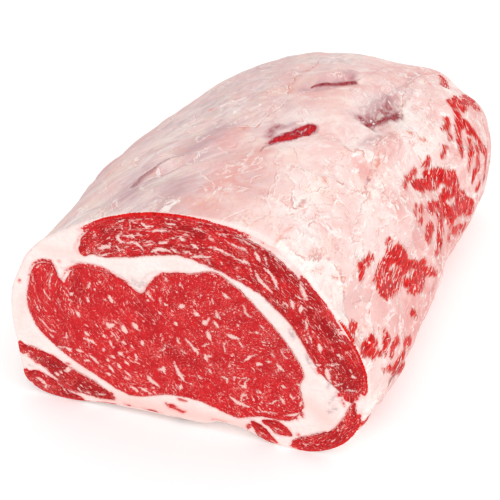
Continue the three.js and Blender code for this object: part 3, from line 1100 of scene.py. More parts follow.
@dataclass(frozen=True)
class SkinFinish:
    """The outside: fat, membrane and the torn patches of lean that show through.

    The mark "round" holds the distance along the length and the run round the section, in mm, and "strands" the same
    with the run sheared along the fibres. "tints" holds the lilac painted shade of valleys, folds and hollows, and
    blush and cream stains. "stains" holds white, ochre and dark purple-red stains; the dark ones are partly painted
    shade in the hollow, along the creases and under a ridge. "marks" holds the distances inside the patches of lean
    and the window, in mm, and the plates' tone. "zones" holds membrane, crags and the closeness of the cut faces'
    rims. "plates" holds the distance from a plate's edge with and without its sign, and the edge's strength. "seams"
    holds the same for seams, in their half widths: a seam is dark where its strength is above 0, and a pale hairline
    below.
    """

    name: str = "fat and membrane"
    fat_tones: tuple[Colour, Colour] = ((250, 232, 227), (244, 211, 206))
    veil_tones: tuple[Colour, Colour] = ((206, 181, 181), (238, 219, 216))
    lean_tones: tuple[Colour, Colour] = ((170, 8, 14), (228, 32, 30))
    core_tones: tuple[Colour, Colour] = ((158, 12, 24), (206, 34, 42))
    rosy: Colour = (240, 194, 189)
    # white: the colour of the painted highlight on the plates' rims.
    white: Colour = (255, 248, 243)
    moisture: Moisture = Moisture(specular=0.1, depth=0.0014, weight=0.1, spread=(1.0, 0.5, 0.4), bump=0.0005)

    def plate_edges(self, graph: Graph, place: Socket) -> tuple[Socket, Socket, Socket]:
        """Shares of a painted highlight on a plate's raised rim and of painted shade beside it, and the step's height.

        Args:
            graph: of the material.
            place: the distance along the length and the run round the section.

        Returns:
            The painted highlight, the painted shade and the height, each from 0 to 1.
        """
        off, gap, strength = graph.marks("plates")
        off = graph.plus(graph.math("SUBTRACT", graph.noise(place, 0.5, 4.0, 0.65), 0.5), 2.4, off)
        patchy = graph.cloud(place, 0.12, 0.42, 0.54, 4.0, 0.65)
        near = graph.times(graph.fall(gap, 1.2, 2.6), strength, patchy)
        step = graph.smooth(off, -0.2, 0.3)
        # rim is a painted highlight on the higher plate's edge, shade is painted shade on the lower one.
        rim = graph.times(near, step, graph.fall(off, 0.3, 1.2))
        shade = graph.times(near, graph.smooth(off, -1.0, -0.2), graph.fall(off, -0.15, 0.1))
        return rim, shade, graph.times(near, step, graph.fall(off, 0.4, 2.6))

    def fat(self, graph: Graph, place: Socket, veil_place: Socket, layers: Socket, rim: Socket, shade: Socket
            ) -> Coat:
        """The colour of fat and membrane where no lean shows.

        Args:
            graph: of the material.
            place: the distance along the length and the run round the section.
            veil_place: the same, sheared along the membrane's strands.
            layers: a noise whose middle value is the edge of thin layers.
            rim: the share of the painted highlight on the plates' rims.
            shade: the share of the painted shade beside them.

        Returns:
            The colour, to lay the lean on.
        """
        lilac, blush, cream = graph.marks("tints")
        white, ochre, _ = graph.marks("stains")
        membrane, crags, border = graph.marks("zones")
        tone = graph.marks("marks")[2]
        coat = Coat(graph, graph.blend(graph.cloud(place, 0.035, 0.32, 0.68, 3.0, 0.6), *self.fat_tones))
        coat.lay(self.rosy, graph.smooth(tone, 0.05, 0.9), 0.75)
        coat.lay((254, 245, 240), graph.smooth(tone, -0.1, -1.0), 0.7)
        coat.lay(self.rosy, graph.cloud(graph.stretched(place, 1.6, 1.0), 0.1, 0.44, 0.66, 4.0, 0.6, 0.5), 0.5)
        warm = graph.noise(graph.stretched(place, 1.3, 1.0, 17.0), 0.06, 4.0, 0.6, 0.8)
        coat.lay((253, 236, 222), graph.smooth(warm, 0.52, 0.64), 0.35)

        streaks = graph.cloud(graph.stretched(veil_place, 18.0, 7.0), 1.0, 0.36, 0.62, 5.0, 0.6, 0.8)
        veil = Coat(graph, graph.blend(streaks, *self.veil_tones))
        clouds = graph.noise(graph.stretched(veil_place, 1.5, 1.0, 5.0), 0.045, 4.0, 0.6, 0.6)
        veil.lay((238, 196, 191), graph.smooth(clouds, 0.44, 0.62), 0.75)
        veil.lay((244, 230, 225), graph.smooth(clouds, 0.46, 0.34), 0.6)
        veil.lay((240, 220, 202), graph.smooth(warm, 0.5, 0.62), 0.4)
        coat.cover(veil.colour, graph.times(membrane, 0.85))
        coat.lay((231, 163, 158), blush, graph.cloud(place, 0.08, 0.25, 0.62, 5.0, 0.6, 0.4))
        # Lilac-grey painted shade in the valleys, folds and hollows.
        coat.lay((188, 146, 154), lilac, graph.cloud(graph.stretched(veil_place, 3.0, 1.0), 0.12, 0.2, 0.62, 4.0, 0.6))
        coat.lay((236, 184, 158), cream, graph.cloud(place, 0.4, 0.5, 0.62, 4.0, 0.7, 0.8))

        # Painted shade on the low side and a painted highlight on the high side of the thin layers' edges.
        here = graph.cloud(place, 0.07, 0.44, 0.56, 4.0, 0.6)
        layer_shade = graph.times(here, graph.smooth(layers, 0.47, 0.496), graph.fall(layers, 0.497, 0.503))
        coat.lay((226, 164, 156), layer_shade, 0.5)
        over = graph.times(here, graph.smooth(layers, 0.5, 0.504), graph.fall(layers, 0.506, 0.535))
        coat.lay((255, 245, 240), over, 0.6)
        lumps = graph.noise(graph.stretched(place, 1.7, 1.0, 31.0), 0.16, 5.0, 0.7, 0.9)
        coat.lay((255, 250, 246), graph.smooth(lumps, 0.57, 0.61), graph.most(graph.times(crags, 0.6), white))
        hairs = graph.noise(graph.stretched(place, 2.2, 1.0, 3.0), 0.12, 4.0, 0.6, 1.0)
        off_middle = graph.math("ABSOLUTE", graph.math("SUBTRACT", hairs, 0.5))
        coat.lay((216, 152, 142), graph.fall(off_middle, 0.002, 0.01), graph.most(crags, 0.5), 0.55)
        # Painted highlight on the plates' raised rims and painted shade beside them.
        coat.lay(self.white, rim, 0.8)
        coat.lay((222, 158, 148), shade, 0.85)
        coat.lay((206, 110, 100), graph.cloud(place, 0.75, 0.7, 0.73, 2.0, 0.5), 0.4)
        coat.lay((222, 124, 98), ochre, graph.smooth(lumps, 0.4, 0.56))
        coat.lay((252, 234, 229), border, 0.5)
        return coat

    def lay_lean(self, coat: Coat, effects: Effects, strands: Socket, fibres: Socket) -> NodeSocket:
        """Lays the torn patches of lean with their strings of fat, and returns their mask.

        Args:
            coat: the colour so far.
            effects: the shared groups.
            strands: the place, sheared along the fibres.
            fibres: a noise drawn out along them.
        """
        graph = coat.graph
        mark = graph.math("ADD", graph.marks("marks")[0], 0.6)
        torn = graph.group(effects.ragged, place=strands, mark=mark, length=7.0, width=1.0, tear=9.5, edge=0.8)
        coat.lay((240, 140, 130), graph.smooth(torn["Inside"], -1.6, 0.2), 0.5)
        flesh = Coat(graph, graph.blend(graph.smooth(fibres, 0.38, 0.6), *self.lean_tones))
        flesh.lay((240, 74, 56), graph.smooth(torn["Inside"], 0.0, 1.3, 0.8, 0.0))
        strings = graph.group(effects.flecks, place=graph.stretched(strands, 1.0, 1.0, 2.0), length=6.0, width=1.2,
                              amount=0.39, softness=0.07)
        border = graph.marks("zones")[2]
        flesh.lay((252, 212, 204), strings["Mask"], 0.95, graph.fall(border, 0.0, 0.6))
        coat.cover(flesh.colour, torn["Mask"])
        return torn["Mask"]

    def lay_window(self, coat: Coat, effects: Effects, place: Socket, strands: Socket, fibres: Socket) -> None:
        """Lays the dark stains, partly painted shade, and the open window of lean.

        Args:
            coat: the colour so far.
            effects: the shared groups.
            place: the distance along the length and the run round the section.
            strands: the same, sheared along the fibres.
            fibres: a noise drawn out along them.
        """
        graph = coat.graph
        lumps = graph.noise(graph.stretched(place, 1.8, 1.0, 9.0), 0.3, 4.0, 0.65, 0.6)
        blots = graph.smooth(lumps, 0.4, 0.58, 0.4, 1.0)
        # Dark purple-red stains, partly painted shade in the hollow and along the creases.
        coat.lay((154, 44, 58), graph.marks("stains")[2], blots)
        leaf = graph.group(effects.ragged, place=strands, mark=graph.marks("marks")[1], length=4.0, width=1.2,
                           tear=2.8, edge=0.7)
        coat.lay((186, 104, 116), graph.smooth(leaf["Inside"], -2.4, 0.2), 0.8)
        core = Coat(graph, graph.blend(graph.smooth(fibres, 0.4, 0.6), *self.core_tones))
        core.lay((140, 26, 40), graph.smooth(leaf["Inside"], 0.0, 0.9, 0.6, 0.0))
        coat.cover(core.colour, leaf["Mask"])

    def lay_seams(self, coat: Coat, place: Socket, fibres: Socket) -> None:
        """Lays the pale hairlines with a painted highlight on one flank and the dark seams with a red heart.

        Args:
            coat: the colour so far.
            place: the distance along the length and the run round the section.
            fibres: a noise drawn out along them.
        """
        graph = coat.graph
        off, gap, strength = graph.marks("seams")
        away = graph.math("ABSOLUTE", off)
        pale = graph.most(graph.times(strength, -1.0), 0.0)
        line = graph.times(graph.fall(away, 0.2, 1.1), graph.fall(gap, 1.4, 2.4))
        broken = graph.smooth(graph.noise(place, 0.35, 4.0, 0.65), 0.4, 0.58, 0.15, 1.0)
        # flank is a painted highlight beside the pale hairlines.
        flank = graph.times(broken, graph.smooth(off, 0.7, 1.4), graph.fall(off, 1.6, 3.2), graph.fall(gap, 2.6, 3.8))
        coat.lay((255, 250, 244), flank, pale, 0.8)
        coat.lay((210, 124, 106), line, pale, broken)
        # The dark seam down the valley's groove is partly painted shade; in the slit it is dark tissue with a red
        # heart.
        coat.lay((136, 34, 48), line, graph.most(strength, 0.0), graph.smooth(fibres, 0.6, 0.4, 0.7, 1.0))
        heart = graph.times(graph.fall(away, 0.0, 0.45), graph.smooth(strength, 0.6, 0.9), graph.smooth(gap, 1.0, 0.6))
        coat.lay((200, 74, 80), heart, graph.smooth(fibres, 0.42, 0.6))

    def build(self, effects: Effects) -> Material:
        """The material, made with the shared groups."""
        material, graph, shader = new_material(self.name)
        place = graph.attribute("round")
        length, climb, veil_climb = graph.marks("strands")
        strands, veil = graph.joined(length, climb), graph.joined(length, veil_climb)
        layers = graph.noise(graph.stretched(place, 1.4, 1.0, 41.0), 0.036, 5.0, 0.58, 0.5)
        fibres = graph.noise(graph.stretched(strands, 5.0, 1.1, 7.0), 1.0, 4.0, 0.65, 0.5)
        # The plates' painted highlight and painted shade, and their step for the bump.
        rim, shade, step = self.plate_edges(graph, place)
        coat = self.fat(graph, place, veil, layers, rim, shade)
        torn = self.lay_lean(coat, effects, strands, fibres)
        self.lay_window(coat, effects, place, strands, fibres)
        self.lay_seams(coat, place, fibres)

        ridges = graph.noise(graph.stretched(veil, 14.0, 3.5), 1.0, 3.0, 0.55, 0.5)
        height = graph.plus(ridges, 0.4, graph.times(graph.noise(place, 0.6, 4.0, 0.65), 0.5))
        rough = graph.times(graph.noise(place, 0.13, 4.0, 0.6, 0.9), graph.marks("zones")[1])
        height = graph.plus(step, 0.5, graph.plus(rough, 1.2, height))
        height = graph.plus(graph.smooth(layers, 0.49, 0.51), 0.3, height)
        height = graph.times(height, graph.smooth(torn, 0.0, 1.0, 1.0, 0.4))
        self.moisture.dress(graph, shader, coat.colour, graph.plus(torn, -0.1, 0.5), height)
        return material


@dataclass(frozen=True)
class ScrapFinish:
    """Small scraps and strings of fat that lie on the outside."""

    name: str = "fat scraps"
    pale: Colour = (255, 243, 238)
    blush: Colour = (248, 214, 206)
    moisture: Moisture = Moisture(depth=0.001, weight=0.15, bump=0.0002)

    def build(self, effects: Effects) -> Material:
        """The material, made with the shared groups."""
        material, graph, shader = new_material(self.name)
        place = graph.scaled(graph.node("ShaderNodeTexCoord").outputs["Object"], 1 / MM)
        grain = graph.group(effects.grain, place=place, fine=1.2, broad=0.25)
        colour = graph.blend(grain["Tone"], self.pale, self.blush)
        self.moisture.dress(graph, shader, colour, graph.plus(grain["Tone"], 0.1, 0.42), grain["Height"])
        return material


# ---------------------------------------------------------------- muscles

@dataclass
class Muscle:
    """One muscle, from cut face to cut face.

    Attributes:
        flecks, spots: large flecks of fat, which narrow by a taper to their ends, and dark spots.
        face_spacing, wall_spacing: between the points of the cut faces and of the wall.
        dome: how far a cut face stands out in the middle, reached over dome_run from edge_drop at its edge, and
            never more than highest.
        edge_round: how far the cut face's edge is drawn in.
        uneven: how far the outline strays, and the size of its bends.
        slant: how far the fibres shift along and across for each mm behind the front face.
        stray: what is added to the reach of lean that shows past the muscles.
        wall_depths: distances of the wall's rings behind the front face.
    """

    name: str
    slot: str
    roast: Roast
    finish: LeanFinish
    flecks: Sequence[Form] = ()
    spots: Sequence[Form] = ()
    face_spacing: float = 0.68
    wall_spacing: float = 0.9
    dome: float = 0.5
    dome_run: float = 3.0
    highest: float = 0.78
    edge_drop: float = 0.35
    edge_round: float = 0.5
    taper: float = 0.55
    uneven: tuple[float, float] = (0.4, 4.0)
    slant: tuple[float, float] = (0.61, 0.37)
    stray: float = 1.5
    seed: int = 1
    wall_depths: Sequence[float] = (0.0, 4.0, 20.0, 42.0, 142.0, 242.0, 264.0, 280.0, 284.0)

    def outline(self) -> Array:
        """The closed outline of the section at the front cut face."""
        raise NotImplementedError

    def grain(self, section: Array) -> Array:
        """The run along the fibres and the offset across them, for points of the section."""
        raise NotImplementedError

    def loop(self) -> Array:
        """The outline, evenly spaced and a little uneven, as the knife leaves it."""
        fine = anticlockwise(self.outline())
        steps = np.linalg.norm(np.roll(fine, -1, axis=0) - fine, axis=1)
        loop = respaced(fine, int(steps.sum() / self.wall_spacing))
        waver, size = self.uneven
        return drawn_in(loop, waver * noise(lifted(loop, 7.0 * self.seed), size, self.seed, 3))

    def marks(self, section: Array, y: float, away: Array) -> dict[str, Array]:
        """The marks that the finish reads, for points of the section at a distance from the muscle's edge.

        Args:
            section: x and z of the points.
            y: distance behind the front face.
            away: distance of each point inside the muscle's edge.

        Returns:
            Three numbers for each point, by the mark's name.
        """
        away = np.maximum(away + self.roast.creep_at(section), deepest(section, FACE_LEAN, 0.0) + self.stray)
        edge = np.column_stack([away, deepest(section, self.flecks, self.taper), deepest(section, self.spots, 0.0)])
        return {"grain": self.grain_marks(section, y), "edge": edge}

    def grain_marks(self, section: Array, y: float) -> Array:
        """The run along the fibres and the offset across them, at a distance y behind the front face."""
        along, across = self.slant
        return lifted(self.grain(section)) + [along * y, across * y, 0.0]

    def face(self, parts: MeshParts, end: End, loop: Array, ring: Array) -> None:
        """Adds one cut face, softly domed, inside a ring of points that is already there.

        Args:
            parts: the mesh so far.
            end: which face.
            loop: the outline of the section.
            ring: the numbers of the points that are there.
        """
        y, look = cut_place(self.roast, end)
        rounded = drawn_in(loop, self.edge_round)
        inner = scattered(rounded, self.face_spacing, 0.5 * self.face_spacing, [], self.seed)
        points, triangles = flat_mesh([rounded], inner, [])
        away = edge_distance(points, [loop])
        bumps = noise(lifted(points, y), 9.0, self.seed + 5, 3)
        swell = (self.dome - self.edge_drop) * (1 - np.exp(-away / self.dome_run)) * (0.7 + 0.3 * bumps)
        placed = self.roast.muscle_ring(points, y)
        placed[:, 1] += look * np.clip(self.edge_drop + swell, 0.0, self.highest)
        first = parts.add_points(placed, **self.marks(points, y, away))
        border = first + np.arange(len(loop))
        parts.add_wall([border, ring] if end is End.FRONT else [ring, border])
        parts.add_faces(triangles + first if end is End.FRONT else triangles[:, ::-1] + first)

    def build(self, effects: Effects) -> Object:
        """The finished muscle."""
        parts = MeshParts()
        loop = self.loop()
        rings = []
        for depth in self.wall_depths:
            placed = self.roast.muscle_ring(loop, depth)
            first = parts.add_points(placed, **self.marks(loop, depth, np.zeros(len(loop))))
            rings.append(first + np.arange(len(loop)))
        parts.add_wall(rings)
        self.face(parts, End.FRONT, loop, rings[0])
        self.face(parts, End.BACK, loop, rings[-1])
        piece = parts.build(self.name, self.roast, [self.finish.build(effects)])
        hand_over(piece, self.slot, self.name.removeprefix("cut_"))
        return piece


def deepest(section: Array, forms: Sequence[Form], taper: float) -> Array:
    """How far points of a section lie inside the nearest of some forms.

    Args:
        section: x and z in mm.
        forms: bands along bent lines.
        taper: how much a form narrows to both its ends, from 0 to 1.

    Returns:
        Distances in mm, below 0 outside.
    """
    depth = np.full(len(section), FAR_OUT)
    x, z = (section[:, k] + 0.5 * noise(lifted(section), 4.0, 51 + k, 2) for k in range(2))
    for form in forms:
        gap, passed, _ = near_line(x, z, form.line)
        depth = np.maximum(depth, form.depth(gap, passed, taper))
    return depth


@dataclass
class EyeMuscle(Muscle):
    """The large eye of lean."""

    turn_round: tuple[float, float] = (87.0, 114.0)
    mean_radius: float = 118.0
    points: Pairs = (
        (-67, 79.5), (-63, 83.5), (-57.5, 84.5), (-51.3, 76), (-46, 83.5), (-35, 86.4), (-19, 83), (-7.3, 77),
        (-1.5, 84.5), (8, 90), (21, 93), (31, 96), (43, 89.5), (60, 73), (73, 56.5), (77, 46.5), (75.3, 40),
        (77.2, 27), (70, 17.2), (55, 16.4), (42, 12.4), (24, 17.4), (6, 17.9), (-16, 12.3), (-38, 22), (-58, 34.5),
        (-69, 48), (-71, 62),
    )

    def outline(self) -> Array:
        """The closed outline of the section at the front cut face."""
        return through(np.array(self.points), 1500, True)

    def grain(self, section: Array) -> Array:
        """The fibres run round a far point, steeply on the left and flatter on the right, and swirl a little.

        Args:
            section: x and z of the points.

        Returns:
            The run and the offset of each point.
        """
        away = section - np.array(self.turn_round)
        run = np.arctan2(away[:, 1], away[:, 0]) % (2 * math.pi) * self.mean_radius
        swirl = np.stack([noise(lifted(section), 40.0, seed, 3) for seed in (3, 4)], axis=-1)
        return np.stack([run, np.hypot(away[:, 0], away[:, 1])], axis=-1) + 6.0 * swirl


@dataclass
class Strap(Muscle):
    """A bent band of lean, given by x, z and half its thickness along its middle line."""

    line: Sequence[Triple] = ()

    def middle(self) -> Array:
        """Fine samples of the middle line: x, z and half thickness."""
        return through(np.array(self.line, float), 40 * len(self.line), False)

    def outline(self) -> Array:
        """The closed outline of the section at the front cut face."""
        middle = self.middle()
        centre, half = middle[:, :2], middle[:, 2:]
        ahead = np.gradient(centre, axis=0)
        ahead /= np.linalg.norm(ahead, axis=1, keepdims=True)
        side = np.stack([-ahead[:, 1], ahead[:, 0]], axis=-1)
        turns = np.linspace(0.0, math.pi, 9)[1:-1, None]
        far_tip = centre[-1] + half[-1] * (side[-1] * np.cos(turns) + ahead[-1] * np.sin(turns))
        near_tip = centre[0] - half[0] * (side[0] * np.cos(turns) + ahead[0] * np.sin(turns))
        return np.vstack([centre + half * side, far_tip, (centre - half * side)[::-1], near_tip])

    def grain(self, section: Array) -> Array:
        """The fibres follow the band.

        Args:
            section: x and z of the points.

        Returns:
            The run and the offset of each point.
        """
        corners = self.middle()[::8, :2]
        _, passed, left = near_line(section[:, 0], section[:, 1], [tuple(corner) for corner in corners])
        length = np.linalg.norm(np.diff(corners, axis=0), axis=1).sum()
        return np.stack([passed * length, left], axis=-1)


EYE_FLECKS = bands(
    (1.2, -25.6, 72.4, -24.4, 70, -23.6, 68), (0.7, -28.4, 69.6, -27.4, 69.4),
    (0.7, -38.6, 73.6, -37, 76, -36.2, 78.4), (0.5, -33.6, 75, -33, 73), (1.1, -46.6, 67.4, -45.4, 69.2),
    (0.5, -38.4, 68.4, -36.4, 65), (0.5, -56, 79, -57.4, 76, -58, 72, -57.4, 69), (0.4, -60, 79.6, -58, 77.6),
    (0.55, -61, 68.4, -59.6, 65, -57.4, 62), (0.7, -3.4, 79, -2, 76, 0, 74.6),
    (1.1, -27, 55.2, -25, 53.6, -22.4, 54.6), (1.4, -17.6, 55.5, -16, 51.6), (1.2, -12.6, 58, -9.4, 54.4),
    (1, -44, 58.6, -42, 55.4), (1.2, -40, 46.8, -37.6, 44.8), (0.9, -40, 42, -36, 41.6, -33.4, 40.4),
    (1.3, -50.6, 34.6, -48.4, 32.6), (0.45, -56, 33.4, -51, 34.8), (0.9, -45.6, 34.4, -41.4, 33.8),
    (0.9, -38, 32, -35, 30.6, -32.6, 28), (0.6, -41.4, 28, -38, 29), (1.1, -26.6, 28.4, -25, 24.8),
    (0.9, -22, 30.6, -20.6, 28.6), (1, -26, 35.4, -24, 34.6), (0.8, -27.2, 32.4, -26.8, 30.8), (1, -21, 38, -19, 37),
    (0.8, -12, 39, -11.4, 36.6, -12.4, 34.4), (1.1, -5.6, 26.6, -4, 24.6, -1, 23, 1, 21.4),
    (0.8, -18, 28, -16, 25, -15, 24.6), (0.8, -18.6, 24, -17.6, 22), (0.9, -15, 18.6, -13, 16.4, -11.4, 15.4),
    (1, -10.4, 18.6, -6.4, 17.4), (0.8, -18, 33.6, -16, 31.6), (1.2, -8, 47.6, -7, 45.4), (0.5, -14, 44, -12, 41.6),
    (0.7, -25.4, 44.6, -24.4, 41), (0.9, -18.2, 45.2, -17.6, 44.2), (0.9, -29, 47.4, -28, 45.6),
    (0.9, -30.2, 38.4, -29.6, 37), (1.1, -28.6, 23, -27, 22.6), (0.6, -66, 50, -63, 47, -61, 45),
    (0.8, -60, 44, -56, 43), (0.6, -60, 41.4, -58, 39), (0.5, -50, 44, -50, 41, -52, 40), (0.6, -66, 58, -64.4, 54),
    (0.9, 0, 32.4, 4, 34, 4.6, 31), (1.1, 9.4, 39, 12, 33, 14.6, 28.4), (0.9, 12.6, 25.6, 12, 22.4),
    (1.5, 25.4, 65.6, 27.4, 67.8), (0.7, 27.6, 68, 28.8, 69.8), (1.1, 31.8, 68, 33.6, 64.8),
    (1.3, 38, 62, 40.4, 61.4, 43.6, 61.2), (1.3, 27.8, 61.6, 28.4, 59, 29.2, 57), (1.1, 10.6, 63.4, 11.8, 61.8),
    (1.3, 13.2, 72.6, 16, 74.6), (1.1, 21, 70.6, 23.6, 70.2), (1, 36.2, 86, 38, 83.8, 39, 83.6),
    (0.9, 6.4, 87.6, 7.6, 86.6), (0.8, 14.6, 87, 14.6, 85.4), (0.7, 46.6, 80.6, 48, 77, 50.4, 74.6),
    (0.5, 30.4, 81.6, 31.2, 78), (0.6, 32.6, 75, 33.4, 71.6, 34.6, 70), (0.8, 52, 67, 54, 66.4),
    (0.6, 55.4, 71, 57.6, 69), (0.7, 55, 61.8, 57.4, 61.8), (0.6, 66, 59.6, 66.6, 56.6, 69, 55),
    (0.35, 66, 60, 71, 60.6), (0.8, 15.4, 54.4, 18, 52.6, 20, 50.4), (0.6, 11.4, 54, 13, 51),
    (0.6, 24.6, 52.6, 28, 54), (0.5, 36, 56.6, 37, 51), (0.9, 5.8, 73, 6.6, 72), (0.5, 2.8, 76, 4, 73),
    (0.6, 1.4, 82.4, 2.4, 81.6), (0.6, 12.2, 82, 13, 81), (0.7, 35.6, 74, 36.6, 73), (0.7, 43, 69.4, 44, 68.6),
    (0.8, 2.2, 68, 3.2, 67), (1, 47.4, 48.4, 49, 50.6, 51, 52), (0.35, 51, 52, 54, 53.6),
    (1, 63.6, 50, 65.4, 48, 67.4, 47), (1, 53, 47, 54, 48.4, 55.6, 48), (0.6, 58.6, 50.4, 61, 50.8),
    (0.9, 66, 38.4, 68.6, 37.8), (0.8, 44.4, 33, 46.6, 32.6, 48, 35.6),
    (0.45, 48, 35.6, 49.4, 37.6, 46, 37.8, 44.4, 35), (0.45, 61, 57, 62, 54), (0.6, 43.6, 59.6, 46, 56.6),
    (0.6, 54, 32.4, 55.4, 31), (0.5, 58, 25.4, 61, 26, 63.4, 28, 65, 28.4), (0.9, 65.4, 31, 67, 29, 67.6, 27),
    (0.6, 70.6, 33.6, 71.4, 32, 72.6, 32), (0.7, 45, 24.4, 46, 27.4, 47.6, 28.4),
    (1.1, 39, 24.4, 42, 22.4, 46, 22, 49.4, 21.4), (0.55, 52.6, 19, 58, 20, 64.6, 20.6),
    (1.1, 70, 20.6, 73, 22, 76, 23.4), (0.6, 73, 40.6, 76, 40.8), (0.8, 76.6, 30.6, 76, 28),
    (0.6, 40.8, 37, 41.6, 35.4), (0.6, 28, 40, 29.4, 37), (0.6, 22, 34, 24, 31.4), (0.9, 18.4, 52, 22.4, 47.4),
    (1.1, 25.8, 47.6, 27.4, 44), (0.7, 27, 46, 30.4, 47.6), (0.7, 13, 47, 16.6, 46),
    (0.7, 34.4, 36, 37.6, 35.6, 37.8, 32.4), (0.5, 5, 49, 4, 45, 2.2, 44.4), (1.5, -52, 79.4, -50.6, 75.4),
)

CAP_FLECKS = bands(
    (1, -15.6, 109, -17.6, 106.6, -16.4, 104.6, -13, 103.8), (0.9, -14.6, 107.8, -10, 108.4, -7.4, 107.2),
    (0.9, -13, 103.6, -9, 104.6, -6, 103.4, -4, 101.2), (1, -29.6, 99, -26, 99.6, -22.6, 99.8, -21.6, 102.6),
    (0.8, -18.4, 101, -17, 99.4, -14.6, 100.4), (0.5, -14.4, 99, -14, 97.4), (0.6, -32, 95.4, -27, 95.6, -23, 96.6),
    (0.45, -19, 113, -16, 115.4, -13, 117), (0.45, -16, 113, -15, 110.6), (0.45, -11, 117, -10.4, 113, -12.6, 111),
    (0.8, -5, 116.6, -3, 115, 1, 116), (0.5, -30.6, 107.4, -29.6, 104.6), (0.8, 0, 113.2, 5, 113.8, 9.5, 114.9),
    (0.9, 3.4, 106.8, 9, 109), (1.2, 15.6, 112.6, 17.6, 111), (0.6, 11, 111.4, 12, 110.6), (1, 20.8, 109.5, 24, 108),
    (1.2, 0, 101.4, 4, 103.4, 9.4, 103.4), (0.8, 10, 105.6, 13, 104), (0.6, 16, 104, 18.6, 105, 20, 102.8),
    (0.9, 20, 102, 25, 103.2, 30.4, 104.4), (0.9, 30, 109.6, 35, 108.8, 39, 107), (0.5, 39, 107, 43, 106, 48, 105.4),
    (1, 45, 105.6, 49.4, 104.8), (0.7, 38, 114.6, 42, 113.2, 46, 111.6, 50, 109.2), (1.2, 52.4, 111, 54.6, 106.6),
    (0.45, 56.6, 110.6, 58.6, 105), (1, 57, 103.8, 60.4, 100.4, 62.6, 97, 63, 94.2),
    (1, 52, 101, 54, 97.6, 57, 94.6, 61, 91), (0.45, 28.6, 102, 30.4, 100), (0.45, 34.6, 103.4, 37, 100.6),
    (0.4, 42.8, 95.6, 47.6, 96), (1.1, 74.4, 98, 76, 94, 77.6, 91), (0.5, 72.6, 92, 74.4, 90.6, 77.6, 90.4),
    (1, 69.8, 89, 71.2, 86, 71.8, 84), (1, 75.4, 87, 75.2, 83), (0.8, 66.6, 87, 68.8, 84.8),
    (0.7, 77.4, 79, 78.2, 75, 77.6, 73), (1.3, 84.6, 66.6, 84.8, 62.6), (0.4, 92.6, 69.6, 94.6, 71, 97.6, 70),
    (0.7, 90.4, 65.4, 91.6, 64), (1, 93.4, 62.6, 95, 62), (0.7, 79.4, 70.6, 80.4, 66.6), (0.9, 82.4, 54.6, 85.6, 55),
    (0.6, 88.6, 55, 92, 56.4, 95, 57.4), (1, 101, 53, 102.4, 51), (1.3, 88.6, 53.2, 89.6, 49.4, 91, 46),
    (0.6, 92.4, 43.6, 96.6, 46.4), (0.6, 99, 43, 103, 44), (0.5, 38, 118, 34, 117),
    (0.5, 42, 117.6, 48, 115.6, 54, 112.6), (0.45, 20, 119, 28, 117.6), (0.5, 8, 118.6, 14, 118),
)

STRAP_FLECKS = bands(
    (1.9, -68.6, 18.4, -64.6, 16.8, -62.6, 14.4), (1.3, -50.4, 22, -51.4, 18.8), (0.9, -53.4, 19, -52, 18.4),
    (1.1, -59, 16.4, -57.4, 15), (0.8, -55.8, 18.6, -55.4, 16.4), (0.7, -44.6, 12.4, -43.6, 11),
    (0.5, -47, 9.6, -44.6, 8), (0.5, -36, 8, -30, 9.4),
)

LOWER_FLECKS = bands(
    (1, -69.6, 10.4, -66.8, 8.6, -65, 6.6), (0.7, -65, 6.6, -66.6, 4.6, -68, 5.4),
    (0.5, -60, 13, -56, 8.6, -52.6, 4.4),
)

STRAP_SPOTS = bands((4, -46, 11.6, -33, 10.6), (2.4, -70, 24, -56, 21))

CAP_SPOTS = bands(
    (3.6, 60, 108, 72, 98), (3.6, 80, 86, 90, 74), (4.6, 96, 56, 99, 47), (2.6, 62, 88, 66, 84),
    (1.6, -24, 108, -18, 111), (1.6, 8, 117, 26, 116),
)

EYE_SPOTS = bands((4, -8, 70, -2, 62), (4, 6, 46, 20, 40), (3, -44, 78, -44, 66))


# ---------------------------------------------------------------- places on the outside

CREASES = reliefs(
    (-1.7, (1.5, 0.8), 44, 123, 48, 121, 52, 118.5, 56, 116, 60, 112, 66, 104), (-0.7, 1, 89, 97, 93, 108),
    (-0.6, 1, 97, 90.5, 105, 88.5, 118, 88.5, 128, 91, 140, 91),
    (-0.7, 1.1, 140, 88, 150, 90, 155, 91, 163, 94.5, 178, 95), (-0.4, 0.9, 29, 72.5, 38, 73.5, 45, 72.5),
    (-0.4, 0.9, 20, 62, 30, 64, 45, 66.5, 54, 68), (-0.6, 1, 0, 51, 8, 51, 15, 51), (-0.5, 1, 16, 49, 22, 41),
    (-0.5, 1, 2, 36, 14, 33.5), (-0.5, 0.9, 16, 29, 21, 25.5), (-0.5, 0.9, 48, 34, 53, 30),
    (-1.2, 1.6, 14, 15.5, 20, 15.8, 28, 13.5, 38, 14), (-2, 2.4, 144, 51, 150, 48.6, 158, 46.5, 166, 44.4, 174, 43.4),
    (-0.8, 1.1, 176, 43.2, 190, 45.2, 200, 45.6, 222, 45), (-0.6, 1.4, 144, 55, 152, 53),
    (-0.7, 1.4, 160, 56, 180, 54, 200, 51.5, 215, 49, 250, 48), (-0.9, 1.8, 108, 49, 118, 47.5, 126, 45.5, 138, 44),
    (-0.4, 1, 136, 43.5, 150, 41.5, 165, 41), (-0.8, 1, 88, 39.3, 96, 39.7, 104, 41, 110, 41.5),
    (-1.3, 1.8, 167, 84.4, 172, 82.8, 176, 79.6, 181, 76, 187, 72, 194, 68),
    (-0.6, 1.2, 178, 93.4, 190, 94.5, 197, 95.5, 207, 97, 222, 98.5, 240, 101),
)

